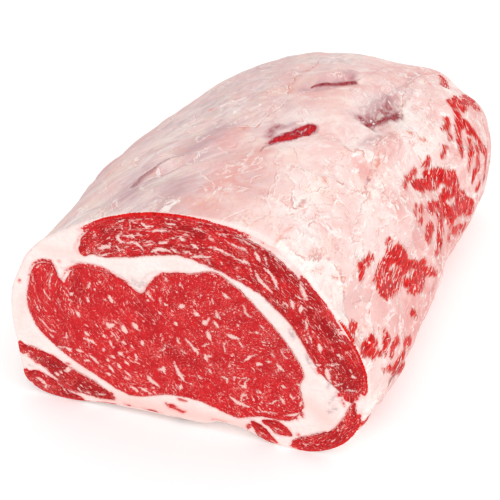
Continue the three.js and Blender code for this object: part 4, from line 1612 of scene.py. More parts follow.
LEDGES = reliefs(
    (1.3, 5, 80, 80, 88, 80, 98, 77, 110, 72), (0.8, 4, 112, 66, 100, 64.5, 90, 68, 83, 72.5),
    (1, 4.5, 158, 86, 170, 85.4, 177, 81, 182, 75, 190, 72), (1.1, 5, 132, 54, 150, 51.5, 167, 47, 212, 47.5),
    (0.9, 6, 66, 103, 58, 112, 44, 121), (0.7, 6, 36, 52, 18, 52, 0, 51.5), (0.7, 7, 14, 49, 24, 40, 38, 38),
    (0.7, 6, 0, 37, 14, 34, 28, 34), (0.6, 6, 44, 36, 54, 29.5, 70, 27), (0.7, 4, 52, 47, 56, 43, 62, 40),
    (0.9, 5, 86, 40, 97, 40.5, 112, 42), (0.9, 5, 10, 17, 20, 16.6, 30, 14.5, 40, 15),
    (0.7, 5, 82, 58, 84, 50, 92, 46), (0.6, 5, 120, 34, 140, 31, 160, 35), (0.6, 6, 188, 40, 204, 36, 220, 40),
    (0.6, 5, 64, 24, 84, 20, 104, 22), (0.6, 5, 230, 44, 246, 42, 268, 44),
)

SEAMS = reliefs(
    (0.55, (2.4, 0.4), 42, 124.4, 47, 121.6, 51, 119.4, 55, 117, 60, 113, 65, 107),
    (0.95, (2.2, 5), 142, 52.4, 148, 49.4, 158, 47.2, 166, 45.6, 172, 45),
    (1, (0.9, 3.2), 168, 84.4, 172, 82.8, 176, 79.6, 181, 76, 187, 71.6),
    (0.55, (0.8, 0.5), 72, 79.4, 80, 79, 86, 78.4), (-0.7, 0.32, 93, 106.5, 100, 103.5, 106, 98.5, 109, 95.5),
    (-0.8, 0.36, 94, 101, 93, 94, 96, 89.5, 109, 89, 122, 88, 138, 88, 144, 86, 155, 83.5),
    (-0.9, 0.45, 149, 91.5, 161, 94, 173, 94.5, 192, 95.5, 219, 98, 237, 102),
    (-0.6, 0.3, 184, 108, 162, 98.5, 151, 91), (-0.5, 0.32, 125, 106, 114, 97.5, 114, 90.5, 135, 92),
    (-0.45, 0.3, 82, 69.5, 71, 64, 62, 60, 53, 58.5, 44, 56.5), (-0.55, 0.38, 53, 67, 45, 66, 36, 65.5, 27, 64),
    (-0.7, 0.36, 35, 72, 40, 72.5, 45, 71.5, 47, 71), (-0.6, 0.32, 84, 58, 83, 54, 83, 50.5, 86, 46.5),
    (-0.7, 0.32, 141, 43.5, 126, 45, 112, 45, 102, 43, 94, 41, 89, 40), (0.5, 0.5, 99, 41.5, 94, 41, 88, 39.5),
    (-0.8, 0.38, 176, 43.5, 188, 44.5, 204, 48, 220, 49, 242, 47.5, 256, 45),
    (0.22, 0.5, 151, 59.5, 161, 56.5, 185, 54.5, 209, 51.5, 224, 50), (0.2, 0.4, 161, 64.5, 147, 57, 146, 53),
    (0.25, 0.5, 183, 68, 198, 67.5, 220, 66, 245, 65), (0.2, 0.35, 123, 57, 115, 53.5, 103, 54.5),
    (-0.5, 0.32, 26, 51, 28, 46.5, 30, 42), (-0.8, 0.38, 65, 54, 63, 51.5), (0.6, 0.4, 94, 40, 88, 39),
    (-0.6, 0.32, 60, 45, 60, 41, 60, 37.5, 63, 33.5, 65, 31), (-0.5, 0.32, 66, 25, 71, 26.5, 80, 24.5, 84, 23.5),
    (-0.5, 0.3, 59, 23.5, 67, 23, 75, 21.5, 83, 19, 83, 16, 88, 12), (-0.9, 0.32, 16, 29, 21, 26),
    (0.25, 0.45, 16, 23, 14, 20, 8, 18, 8, 15.5), (0.25, 0.4, 19, 16.5, 27, 14, 33, 13.5),
    (-1, 0.32, 25, 11.5, 23, 11), (-1, 0.6, 68, -2.5, 71, -6), (0.7, 0.4, 25, 6, 23, 4.5),
    (-0.4, 0.32, 4, 36, 9, 33.5, 14, 32.5), (-0.4, 0.3, 73, 41, 83, 38, 88, 33.5),
    (0.8, 1.5, 25, -13, 30, -12, 34, -9.5), (0.7, 1.4, 226, -2, 231, -2), (0.5, 0.7, 52, 10, 58, 8.5),
)

WINDOW = bands(
    ((0.5, 3.4), 84, 79.4, 89, 77.4, 94, 74.4), ((3.6, 4.6), 94, 74.4, 98, 73, 104, 71.2),
    ((4.6, 3.4), 104, 71.2, 109, 69.6),
)

LEAN_PATCHES = bands(
    (1.5, 33, 21, 38, 23.3, 45, 23, 52, 21.8), (1.1, 70, 20.5, 75, 20.5), (5.2, 44, 12.6, 56, 13.5, 66, 15, 78, 13),
    (2.3, 52, 9, 60, 8, 74, 9, 82, 8, 88, 5.5, 93, 3), (3.8, 72, 4, 80, 2, 90, -1, 94, -1),
    ((2.9, 1.2), 84, 5, 92, 2, 100, 0, 108, -3, 114, -5), (1.3, 66, -3, 70, -5.5), (2.6, 5, 5, 10, 4.5, 16, 4),
    (1.9, 9, 2.5, 13, 1.5), (1, 15, 1, 18, -0.5), (1.5, 4, 12.5, 10, 12.5), (1.4, 0, 11, 0, 16),
    (1.6, 23, -1, 28, 1, 30, 1.5), (1.5, 29, -4, 33, -2, 38, -2.5), (0.9, 17, -6, 27, -8),
    ((2.6, 1.6), 29, -10, 36, -8.5, 44, -8.5, 52, -8.5, 57, -10), (2, 35, -12, 42, -13.5), (3, 3, -19, 10, -20),
    (1.4, 120, 26.5, 132, 26.5, 142, 25, 150, 24.5), (3, 137, 22, 143, 19.5, 152, 17.5, 160, 16, 170, 14.5, 178, 12),
    (2, 158, 20, 164, 19, 170, 16), (1.2, 160, 23.5, 168, 23.5), (4, 170, 16, 178, 12, 186, 9, 186, 7),
    (2.4, 110, 9, 118, 9, 124, 8.5), (2.6, 132, 13, 140, 11.5, 148, 10, 156, 7, 160, 5),
    (2.6, 120, 1, 128, 3.5, 136, 5, 142, 7), (1.8, 114, 2, 118, 0.5), (2.2, 140, 8, 150, 6, 158, 4),
    (2.5, 160, 8.5, 170, 8, 178, 6, 186, 3, 192, 1), (3.6, 155, 1, 162, 2, 170, 1, 180, -1, 188, -3, 196, -5),
    (1.6, 148, -3, 152, -4), (1.6, 158, -3, 166, -5), (2, 172, -6, 180, -9, 186, -8),
    (3.8, 184, 3, 190, -1, 196, -4, 200, -6), (0.8, 112, 18, 118, 18.5), (0.9, 120, 16, 127, 16.5),
    (0.8, 111, 15, 116, 14.4), (1, 96, 3, 102, 3), (1.4, 206, 8, 214, 11, 222, 15, 230, 21),
    (1.5, 204, 14, 212, 17, 222, 22, 230, 26), (1.3, 206, 3, 216, 6, 226, 12), (1.2, 204, 20, 210, 23, 218, 27),
    (1, 205, 25, 212, 25.5), (2.8, 222, 22, 228, 22, 229, 19, 229, 13, 231, 8, 230, 2, 228, -2),
    (1.2, 210, -1.5, 216, -2), (2.2, 233, 29, 240, 28.5, 247, 28), (2.8, 238, 26, 250, 25, 262, 23.5, 276, 21.5),
    (2.3, 258, 20, 268, 18), ((1.3, 2.2), 256, 34.5, 263, 34, 270, 35, 274, 37), (0.6, 182, 20, 195, 20),
)

WINDOW_STREAKS = bands(
    (0.3, 95, 74.6, 101, 73.2), ((0.7, 0.4), 103, 71.6, 110, 69.8), (0.2, 98, 70.6, 103, 70),
    (0.15, 90, 77.4, 98, 76), (0.2, 97, 73.6, 104, 73.2),
)

FAT_ISLANDS = bands(
    (1.5, 63, 12.7, 68, 12.2), (1.4, 80, 6.4, 85, 5.6), (2.6, 128, 21, 134, 20), (1, 150, 14.2, 158, 12),
    (1.6, 222, 17, 226, 12, 226, 7), (1, 150, 3.5, 156, 2),
)

# Lilac-grey painted shade in the valleys, folds and hollows of the outside.
LILAC_SHADE = reliefs(
    (0.7, 10, 8, 96, 24, 98), (0.35, 7, 30, 70, 44, 72), (0.75, 11, 15, 118, 30, 121, 45, 122),
    (0.7, 9, 66, 110, 80, 108, 94, 104), (0.8, 3.6, 91, 81.4, 98, 81.6, 104, 79.8, 110, 76.8),
    (0.35, 5, 150, 54, 180, 51, 215, 50), (0.75, 6.5, 160, 85, 172, 83, 184, 75, 197, 74),
    (0.75, 6, 140, 56, 162, 54, 186, 52), (0.16, 6, 10, 18, 20, 19, 30, 18), (0.2, 6, 86, 15, 96, 13, 104, 14),
    (0.35, 3, 138, 54, 165, 51, 200, 49, 260, 47), (0.35, 3.6, 110, 49, 120, 47.5, 128, 46),
    (0.35, 22, 120, 130, 230, 124), (0.15, 2, 16, 49, 22, 41), (0.35, 18, 40, 150, 120, 150),
)

BLUSH = reliefs(
    (0.9, 9, 96, 44, 120, 41, 140, 40), (0.8, 14, 236, 54, 276, 44), (0.45, 9, 30, 66, 48, 74),
    (0.8, 20, 236, 16, 262, 8), (0.45, 14, 196, 30, 250, 40), (0.5, 10, 96, 12, 112, 10),
    (0.85, 16, 12, 82, 40, 80, 66, 79), (0.8, 7, 80, 98, 90, 96), (0.4, 14, 90, 60, 140, 64),
    (0.6, 12, 44, 8, 66, -2), (0.6, 15, 110, 20, 130, 5), (0.8, 16, 196, 16, 224, 10), (0.85, 16, 240, 22, 276, 14),
    (0.65, 18, 150, 78, 262, 56), (1, 10, 96, 27, 114, 25), (0.4, 22, 70, 150, 200, 160), (0.3, 12, 30, 36, 60, 36),
    (0.4, 14, 110, 96, 200, 100), (0.7, 9, 40, 10, 60, 6), (0.7, 16, 140, 12, 196, 2),
)

CREAM = reliefs(
    (0.9, 4, 4, 64.5, 10, 64.5), (0.8, 5, 2, 98, 16, 82), (0.35, 10, 56, 44, 110, 40), (0.7, 4, 8, 25, 20, 24),
    (0.5, 12, 10, 74, 56, 78),
)

WHITE = reliefs(
    (0.7, 6, 3, 98, 24, 82), (0.35, 12, 124, 118, 172, 110), (0.9, 5, 98, 100, 118, 106), (0.6, 6, 20, 84, 50, 82),
    (1, 3.4, 55, 47, 60, 41), (1, 3, 92, 48, 98, 49), (0.8, 2.6, 84, 56, 85, 48, 92, 44), (0.9, 3, 62, 104, 70, 104),
    (0.6, 6, 110, 96, 140, 95), (0.7, 2.6, 26, 38, 36, 43, 40, 45), (0.5, 5, 4, 9, 28, 10, 40, 9),
    (0.8, 10, 6, -6, 34, -10), (0.5, 6, 100, 32, 140, 33), (0.5, 7, 190, 34, 226, 38),
)

OCHRE = reliefs(
    (1, 1.5, 158, 38.6, 164, 35.4, 172, 32, 179, 30), (0.9, 1.3, 183, 73.4, 188, 71.6), (1, 1.8, 58, 142, 59, 142.4),
    (0.8, 1.8, 126, 120, 127, 120.4), (0.7, 1.6, 63, 52.6, 65, 52.8), (1, 1.3, 57.6, 46, 59.4, 46),
    (0.6, 0.8, 0, 51.3, 8, 51, 15, 51), (0.4, 0.8, 2, 36, 14, 33.5), (0.8, 0.7, 16, 29, 21, 25.5),
    (0.35, 0.8, 48, 34, 53, 30), (0.8, 1, 88, 39.3, 96, 39.7, 104, 41, 110, 41.5),
    (0.55, 1.6, 150, 90.4, 157, 91.4, 164, 95, 176, 95), (0.4, 1.3, 178, 93.6, 197, 95.5, 222, 98.5),
    (0.7, 1.4, 192, 95, 196, 95.4), (0.6, 1.4, 216, 97.4, 221, 97.8), (0.7, 1, 92, 93.5, 95, 93.5),
    (0.7, 1.2, 248, 40.5, 250, 40.5), (0.3, 1, 78, -2, 92, 1), (0.6, 0.8, 12, 10.2, 18, 9),
)

# Dark purple-red stains, which are partly painted shade in the hollow, along the creases and under a ridge.
DARK_STAINS_AND_SHADE = reliefs(
    (1, (3, 4.4), 143, 52.4, 152, 49.4, 164, 46.6, 176, 45), (1, 3.2, 138, 55, 144, 56),
    (0.85, 6, 144, 51, 166, 49, 184, 49), (0.45, 2.6, 176, 49, 186, 50.4, 196, 50), (0.6, 3, 144, 55, 152, 54),
    (0.9, 2.4, 162, 52, 168, 51, 178, 50.6), (0.45, 3, 184, 73, 189, 71, 195, 72),
    (0.3, 1.2, 178, 43.4, 190, 45.2, 200, 45.6, 222, 45), (0.35, 2.2, 113, 48, 122, 45.6, 128, 46),
    (0.4, 1.4, 137, 43, 144, 43), (0.16, 1.8, 160, 56, 180, 54, 200, 51.5, 215, 49, 250, 48),
    (0.8, 2.2, 91, 82, 98, 82.6, 104, 80.6), (0.8, 2.6, 24, -12, 30, -12, 34, -10), (0.7, 2.4, 83, 79.4, 90, 76.8),
    (0.6, 2.4, 227, -2, 232, -3), (0.5, 1.2, 104, 67.2, 108, 66.8), (0.35, 1.4, 5, 92.5, 6, 92.5),
    (0.4, 1.6, 104, -7.5, 112, -8),
)

FACE_LEAN = bands(
    (1.6, -46.4, 82, -42, 84.6, -36, 86.2, -28, 86, -20, 83.4), (0.8, -20, 83.6, -13, 80.6),
    (1, -66, 82, -60, 84.6, -56, 84.4, -53.4, 82), (1.2, 0, 86.4, 6, 89.6, 14, 91.4), (1.6, -77, 29.4, -76.6, 26),
    (1.8, -64, 27, -57.6, 25.4), (1.5, -74, 24.6, -70, 21.6, -66, 20.6), (1.3, -58, 12, -53, 8.4, -46, 6.6),
    (1.1, -60.6, 12.6, -57, 9, -53, 4.8), (1.3, -76.4, 12, -75.6, 10), (1.2, -72, 14.6, -66, 14),
    (1, -47, 3.4, -44.4, 2.4), (1.2, -28, 10.6, -26.4, 9.6), (0.8, -52, 24.2, -49.6, 24), (1, -70, 6, -71, 4.6),
    (0.9, -20, 4.8, -14, 4), (0.9, -13, 3.4, -7, 4.4, 1, 4.6), (1.1, 3.6, 11.4, 6, 10.2, 8.4, 10.8, 10, 9.8),
    (1, 7, 9.2, 10, 9.4, 12.8, 8.6, 14, 9.4), (0.8, -75, 69.6, -74.8, 70.6), (0.6, -51, 85.8, -50.6, 86),
    (0.7, 11, 16.2, 15, 16), (0.6, 30, 7.4, 40, 6.6), (1.2, 73.6, 20.4, 74.4, 19), (0.9, 76.6, 25, 77.6, 21),
    (1.3, 57.4, 14.6, 63, 15, 68, 12.2, 71, 9.6), (1.2, 60.6, 11, 63, 8.8, 67, 8, 70.6, 8.4),
    (1.2, 50, 10.6, 48.6, 7), (1.7, 53.4, 6, 56.4, 3.6, 61, 2.2), (0.9, 61, 2.2, 64.8, 0.8),
    (1.3, 52, 11.6, 55, 9.6, 59, 6), (2, 103.8, 28, 103.2, 22, 101, 17, 97, 12.4, 92.6, 8.6, 87, 5.6),
    (2.1, 87, 4.6, 81, 2.4, 75.4, 2.4), (1.4, 88, 13.8, 90.4, 14), (0.7, 75, 10.6, 74.6, 9),
    (0.6, 107, 27, 109.4, 29), (1.3, 83.6, 51.8, 86, 49.8), (1.4, 94.8, 38.8, 96.6, 40), (0.6, 97.6, 37, 98, 33),
    (1.2, 105.8, 50, 106.4, 47.4, 104.6, 42, 103.8, 38),
)

FACE_VEINS = reliefs(
    (0.5, 1, -44, 87.6, -30, 88, -20, 85.6, -12, 81.6), (0.7, 2.2, -11, 82.6, -7.6, 80.4, -5, 83),
    (0.5, 0.8, -5.4, 84, -3.4, 88, 2, 90.6), (1, 0.9, -52.8, 79.6, -52.2, 76.6), (0.4, 0.8, -50, 83, -48.6, 82),
    (1, 0.8, 58, 85.6, 64, 80.8), (1, 1.5, 70.2, 71, 71.4, 67.6), (1, 1, 78, 58.6, 80, 54.6),
    (0.6, 0.8, 80.6, 53, 82.6, 50.2), (0.8, 1.1, 88.8, 48.6, 90.4, 46.4, 89.6, 42.4),
    (0.7, 0.9, 94.4, 41.2, 90.6, 33), (0.5, 0.5, 96, 37, 92, 31), (0.9, 1.1, 94, 30.6, 90, 27.4),
    (0.9, 0.7, 82, 11.4, 88, 14.6), (0.4, 0.7, 26, 98.6, 36, 97), (0.4, 0.6, 36, 94, 44, 90),
    (0.8, 0.6, 48.4, 13.4, 51.6, 12.6), (0.7, 0.7, -74.6, 17.4, -72, 17.6),
)

FACE_BLUSH = reliefs(
    (0.5, 4, -60, 92, -40, 92), (0.6, 4, -62, 12, -40, 22), (0.9, 5, -30, 6, 20, 8, 46, 7), (0.7, 6, 80, 30, 90, 22),
    (0.4, 3, 66, 80, 80, 62), (0.3, 3, -78, 40, -74, 60),
)


# ---------------------------------------------------------------- the fat cover

@dataclass
class Plates:
    """Overlapping plates of fat, each tilted so that one edge stands over its neighbour.

    Attributes:
        tilt: rise over a plate's usual width, both in mm.
        step: greatest lift of a whole plate, in mm.
        soft: half width of the slope between two plates, in mm.
        reach: distance from an edge beyond which it no longer counts, in mm.
        full_drop: height of an edge of full strength, in mm.
        waver: how far the edges stray, in mm, and the size of their bends.
    """

    count: int = 130
    seed: int = 11
    width: float = 14.0
    tilt: float = 0.7
    step: float = 0.35
    soft: float = 1.6
    reach: float = 4.0
    full_drop: float = 0.5
    waver: tuple[float, float] = (6.5, 15.0)

    def relief(self, y: Array, arc: Array, points: Array) -> tuple[Array, Array, Array]:
        """Heights of the plates, and what shows at their edges.

        Args:
            y: distances behind the front face.
            arc: run round the section, in mm.
            points: the same places in space, which the plates' edges waver over.

        Returns:
            Heights in mm, each plate's tone from -1 to 1, and in one vector the distance from the nearest edge in mm,
            below 0 on the lower plate, that distance without its sign, and the edge's strength from 0 to 1.
        """
        draw = np.random.default_rng(self.seed)
        seeds = np.column_stack([draw.uniform(-10, 294, self.count), draw.uniform(arc.min(), arc.max(), self.count)])
        turn = draw.uniform(0, 2 * math.pi, self.count)
        lift = draw.uniform(-1, 1, self.count) * self.step
        tones = draw.uniform(-1, 1, self.count)
        tone = np.zeros(y.shape)
        ahead = np.column_stack([np.cos(turn), np.sin(turn)]) * self.tilt / self.width
        waver, size = self.waver
        bent = [value + waver * noise(points, size, self.seed + k, 4) for value, k in ((y, 1), (arc, 2))]
        place = np.stack(bent, axis=-1)
        nearest = np.full(y.shape + (2,), np.inf)
        height = np.zeros(y.shape + (2,))
        for k in range(self.count):
            away = place - seeds[k]
            gap = np.linalg.norm(away, axis=-1)
            here = away @ ahead[k] + lift[k]
            first = gap < nearest[..., 0]
            second = ~first & (gap < nearest[..., 1])
            nearest[..., 1] = np.where(first, nearest[..., 0], np.where(second, gap, nearest[..., 1]))
            height[..., 1] = np.where(first, height[..., 0], np.where(second, here, height[..., 1]))
            nearest[..., 0] = np.where(first, gap, nearest[..., 0])
            height[..., 0] = np.where(first, here, height[..., 0])
            tone = np.where(first, tones[k], tone)
        past = (nearest[..., 1] - nearest[..., 0]) / 2
        share = 0.5 * (1 - smoothstep(past / self.soft, 0.0, 1.0))
        blended = height[..., 0] * (1 - share) + height[..., 1] * share
        drop = height[..., 0] - height[..., 1]
        off = np.minimum(past, self.reach)
        strength = np.clip(np.abs(drop) / self.full_drop, 0.0, 1.0)
        return blended, tone, np.stack([off * np.sign(drop), off, strength], axis=-1)


@dataclass
class Strands:
    """The way that fibres and streaks run over the outside: how much they climb round the section per mm of length.

    Attributes:
        flank: distances behind the front face, and the climb on the right flank there.
        veil: the same for the membrane over the top and the left side.
    """

    flank: Pairs = ((0, 0.2), (100, 0.3), (120, 0.6), (190, 0.8), (203, 1.7), (232, 1.7), (242, 0.3), (284, 0.0))
    veil: Pairs = ((0, -0.3), (30, -0.8), (90, -0.7), (120, -0.1), (284, 0.1))

    @staticmethod
    def climbed(slopes: Pairs, y: Array) -> Array:
        """The climb in mm from the front face to a distance behind it.

        Args:
            slopes: distances and the climb per mm there.
            y: the distances.

        Returns:
            One climb for each distance.
        """
        at, slope = np.array(slopes, float).T
        fine = np.linspace(at[0], at[-1], 600)
        total = np.cumsum(np.interp(fine, at, slope)) * (fine[1] - fine[0])
        return np.interp(y, fine, total)

    def slope(self, y: Array) -> Array:
        """The climb per mm on the flank."""
        at, slope = np.array(self.flank, float).T
        return np.interp(y, at, slope)

    def place(self, y: Array, run: Array) -> Array:
        """Places sheared along the strands: the distance, and the run less the flank's climb and the membrane's."""
        return np.stack([y, run - self.climbed(self.flank, y), run - self.climbed(self.veil, y)], axis=-1)


@dataclass
class FatCover:
    """The cover of fat: its outside, its two cut faces and the channels that the muscles lie in.

    Attributes:
        spacing: between the outside's points, round the section and along the length.
        side_share: how closely the points lie on the left side, past side_angle.
        under_share: the same on the underside, lower than ground.
        rim_calm: the share of the fine relief that is lost at the cut faces, over rim_run.
        end_run: distance from a cut face within which the skin clears the muscles by least_cover; further in it may
            sink by open_room.
        rim_lean: cover under which lean shows at a cut face, less rim_fall for each mm from it.
        broad, veil, fibre: heights of the broad unevenness, the membrane's streaks and the lean's fibres.
        crags: height of the lumps on the right flank, where they are low and what more where they are high.
        plate_share: share of the plates away from the right flank, and what more there is on it.
        torn_depth: how far lean that shows lies below the fat.
        mark_limit, seam_limit: distances in marks are cut off here, in mm and in half widths of a seam.
    """

    roast: Roast
    muscles: Sequence[Muscle]
    plates: Plates = field(default_factory=Plates)
    strands: Strands = field(default_factory=Strands)
    samples: int = 4000
    spacing: tuple[float, float] = (1.15, 1.2)
    side_share: float = 0.6
    side_angle: float = 125.0
    under_share: float = 0.22
    ground: float = 0.4
    rim_steps: int = 4
    rim_run: float = 7.0
    rim_calm: float = 0.8
    end_run: float = 30.0
    least_cover: float = 0.35
    open_room: float = 40.0
    rim_lean: float = 2.4
    rim_fall: float = 1.5
    rim_sharpness: float = 4.0
    broad: float = 0.9
    veil: float = 0.4
    fibre: float = 0.2
    crags: tuple[float, float] = (0.2, 0.5)
    plate_share: tuple[float, float] = (0.4, 0.6)
    torn_depth: float = 0.4
    mark_limit: float = 5.0
    seam_limit: float = 4.0
    limit_margin: float = 1.5
    face_spacing: float = 0.95
    name: str = "fat_and_membrane"

    def stations(self) -> tuple[Array, Array]:
        """Distances behind the front face of the outside's rings, and how far each is drawn in."""
        turns = np.linspace(0.0, math.pi / 2, self.rim_steps + 1)[:-1]
        front, back, length = self.roast.front_rim, self.roast.back_rim, self.roast.length
        count = int((length - front - back) / self.spacing[1])
        straight = np.linspace(front, length - back, count)
        y = np.concatenate([front * (1 - np.cos(turns)), straight, length - back * (1 - np.cos(turns[::-1]))])
        inset = np.concatenate([front * (1 - np.sin(turns)), 0 * straight, back * (1 - np.sin(turns[::-1]))])
        return y, inset

    def skin(self) -> tuple[Array, Array]:
        """The outside as rings of points, and the run round the section of each point in mm."""
        fine = anticlockwise(through(np.array(self.roast.outside), self.samples, True))
        middle = np.array(self.roast.centre)
        bottom = int(np.argmin(np.abs(fine[:, 0] - middle[0]) + 10 * np.maximum(fine[:, 1], 0)))
        fine = np.roll(fine, -bottom, axis=0)
        angle = np.degrees(np.arctan2(*(fine - middle).T[::-1]))
        density = np.where(np.abs(angle) > self.side_angle, self.side_share, 1.0)
        density = np.where(fine[:, 1] > self.ground, density, self.under_share)
        steps = np.linalg.norm(np.roll(fine, -1, axis=0) - fine, axis=1) * density
        outline = respaced(fine, int(steps.sum() / self.spacing[0]), density)
        run = np.linalg.norm(outline - np.roll(outline, 1, axis=0), axis=1)
        run[0] = 0.0
        y, inset = self.stations()
        drawn = [drawn_in(outline, np.full(len(outline), distance)) for distance in inset]
        rings = np.stack([self.roast.placed(ring, at) for ring, at in zip(drawn, y)])
        return self.roast.raised(rings, SWELLS + FOLDS), np.broadcast_to(np.cumsum(run), rings.shape[:2])

    @staticmethod
    def normals(rings: Array) -> Array:
        """Outward directions over the rings."""
        around = np.roll(rings, -1, axis=1) - np.roll(rings, 1, axis=1)
        along = np.gradient(rings, axis=0)
        out = np.cross(along, around)
        return -out / (np.linalg.norm(out, axis=-1, keepdims=True) + 1e-9)

    def cover_left(self, rings: Array) -> Array:
        """How far each point of the outside may sink before a muscle would show, in mm.

        Args:
            rings: the outside.

        Returns:
            One depth for each point.
        """
        room = np.full(rings.shape[:2], self.open_room)
        for ring, points in zip(room, rings):
            y = points[:, 1].mean()
            if min(y, self.roast.length - y) < self.end_run:
                loops = [self.roast.muscle_ring(muscle.loop(), y)[:, [0, 2]] for muscle in self.muscles]
                ring[:] = np.maximum(edge_distance(points[:, [0, 2]], loops) - self.least_cover, 0.0)
        return room

    def patch(self, patches: Sequence[Form], at: Places) -> Array:
        """How far places lie inside the nearest of some patches, in mm, and below 0 outside."""
        depths = [form.depth(*self.roast.near_form(form, at)[:2]) for form in patches]
        return np.maximum(np.max(depths, axis=0), FAR_OUT)

    def opening(self, patches: Sequence[Form], islands: Sequence[Form], at: Places) -> Array:
        """How far places lie inside some patches and outside their islands, in mm."""
        return np.minimum(self.patch(patches, at), -self.patch(islands, at))

    def stains(self, groups: Sequence[Sequence[Form]], at: Places) -> Array:
        """The strongest of each of three groups of stains and painted shade at each place, from 0 to 1.

        Args:
            groups: the stains and the painted shade.
            at: places on the outside.

        Returns:
            Three numbers for each place.
        """
        return np.stack([
            np.max([form.faded(*self.roast.near_form(form, at)[:2]) for form in group], axis=0) for group in groups
        ], axis=-1)

    def kept_inside(self, points: Array) -> Array:
        """Points kept within the roast's own box."""
        low, high = self.roast.limits()
        points = points.copy()
        points[..., 0] = soft_limit(points[..., 0], high[0], self.limit_margin)
        points[..., 0] = -soft_limit(-points[..., 0], -low[0], self.limit_margin)
        points[..., 1] = np.clip(points[..., 1], 0.0, self.roast.length)
        points[..., 2] = np.clip(soft_limit(points[..., 2], high[2], self.limit_margin), 0.0, None)
        return points

    def dressed_skin(self) -> tuple[Array, dict[str, Array]]:
        """The outside with its fine relief, and the marks that its finish reads."""
        rings, run = self.skin()
        angle, radius, _ = self.roast.round_place(rings)
        angle = np.where(angle < -90, angle + 360, angle)
        y = rings[..., 1]
        behind = np.minimum(y, self.roast.length - y)
        true = (y, angle, radius)
        bent = [value + share * noise(rings, 7.0, seed, 3) for value, share, seed in ((y, 1.3, 61), (angle, 0.9, 62))]
        at = (*bent, radius)
        waver = 3.0 * noise(rings, 30.0, 12, 3)
        crags = smoothstep(angle, -75, -40) * (1 - smoothstep(angle + waver, 52, 64))
        membrane = smoothstep(angle + 2 * waver, 66, 92)
        sheared = self.strands.place(y, run)
        fibres, lengthwise = (np.stack([0.2 * y, sheared[..., k], 0 * y], axis=-1) for k in (1, 2))
        plate_height, tone, edges = self.plates.relief(y, run, rings)
        low_share, more = self.plate_share
        plate_share = low_share + more * crags
        edges[..., 2] *= plate_share

        lean = self.opening(LEAN_PATCHES, FAT_ISLANDS, at)
        torn = smoothstep(lean + 1.6 * noise(fibres, 3.0, 21, 3), -0.4, 1.2)
        torn = np.maximum(torn, smoothstep(self.patch(WINDOW, true), -0.4, 1.0))
        low_crag, more = self.crags
        crag = low_crag + more * smoothstep(noise(rings, 26.0, 15, 2), -0.5, 0.6)
        fine = (
            self.broad * noise(rings, 38.0, 5, 2)
            + crags * crag * noise(rings, 9.0, 6, 3)
            + self.veil * membrane * noise(lengthwise, 12.0, 7, 3)
            + plate_share * plate_height
            + self.roast.relief(CREASES, at)
            + self.roast.ledges(LEDGES, at)
            - self.torn_depth * torn
            + self.fibre * torn * noise(fibres, 2.2, 8, 2)
        )
        rim = 1 - smoothstep(behind, 0.6, self.rim_run)
        room = self.cover_left(rings)
        fine = np.maximum(fine * (1 - self.rim_calm * rim), -room)
        dressed = self.kept_inside(rings + self.normals(rings) * fine[..., None])
        dressed[0, :, 1], dressed[-1, :, 1] = 0.0, self.roast.length

        lean = np.maximum(lean, self.rim_sharpness * (self.rim_lean - room - self.rim_fall * behind))
        window = self.opening(WINDOW, WINDOW_STREAKS, true)
        low_flank = smoothstep(angle, -75, -45) * (1 - smoothstep(angle, -8, 42)) * smoothstep(y, 8.0, 48.0)
        # Lilac painted shade, blush and cream, at each place.
        tints = self.stains((LILAC_SHADE, BLUSH, CREAM), at)
        tints[..., 1] = np.maximum(tints[..., 1], low_flank)
        border = 1 - smoothstep(behind, 0.3, 1.6)
        depths = [np.clip(depth, -self.mark_limit, self.mark_limit) for depth in (lean, window)]
        return dressed, {
            "round": np.stack([y, run, 0 * y], axis=-1), "strands": sheared, "tints": tints,
            "stains": self.stains((WHITE, OCHRE, DARK_STAINS_AND_SHADE), at), "plates": edges, "seams": self.seams(at),
            "marks": np.stack([*depths, tone * plate_share], axis=-1),
            "zones": np.stack([membrane, crags, border], axis=-1), "grain": 0 * rings,
        }

    def seams(self, at: Places) -> Array:
        """The offset from the nearest seam and the distance from it, in its half widths, and its strength.

        Args:
            at: places on the outside.

        Returns:
            Three numbers for each place.
        """
        off, gap, strength = (np.full(at[0].shape, value) for value in (self.seam_limit, self.seam_limit, 0.0))
        for form in SEAMS:
            distance, passed, left = self.roast.near_form(form, at)
            reach = form.reach_at(passed)
            nearer = distance / reach < gap
            gap = np.where(nearer, distance / reach, gap)
            off = np.where(nearer, left / reach, off)
            strength = np.where(nearer, form.rise, strength)
        return np.stack([np.clip(off, -self.seam_limit, self.seam_limit), gap, strength], axis=-1)

    def face_marks(self, section: Array, loops: Sequence[Array], y: float) -> dict[str, Array]:
        """The marks of a cut face, for points of the front section and the muscles' outlines in it.

        Args:
            section: x and z of the points.
            loops: the outlines, or none where the points lie on them.
            y: distance behind the front face.

        Returns:
            Three numbers for each point, by the mark's name.
        """
        none = np.zeros(len(section))
        stains = [
            np.max([form.faded(*near_line(*section.T, form.line)[:2]) for form in group], axis=0)
            for group in (FACE_VEINS, FACE_BLUSH)
        ]
        gaps = np.stack([edge_distance(section, [loop]) for loop in loops]) if loops else none[None]
        fibres = np.stack([muscle.grain_marks(section, y) for muscle in self.muscles]) if loops else np.zeros((1, 1, 3))
        nearest = np.take_along_axis(fibres, gaps.argmin(axis=0)[None, :, None], axis=0)[0] if loops else none[:, None]
        depth = self.roast.creep_at(section) - gaps.min(axis=0)
        return {
            "round": np.column_stack([section, none]), "tints": np.column_stack([*stains, none]), "grain": nearest,
            "marks": np.column_stack([deepest(section, FACE_LEAN, 0.6), depth, none]),
            **{mark: np.zeros((len(section), 3)) for mark in ("strands", "stains", "zones", "plates", "seams")},
        }

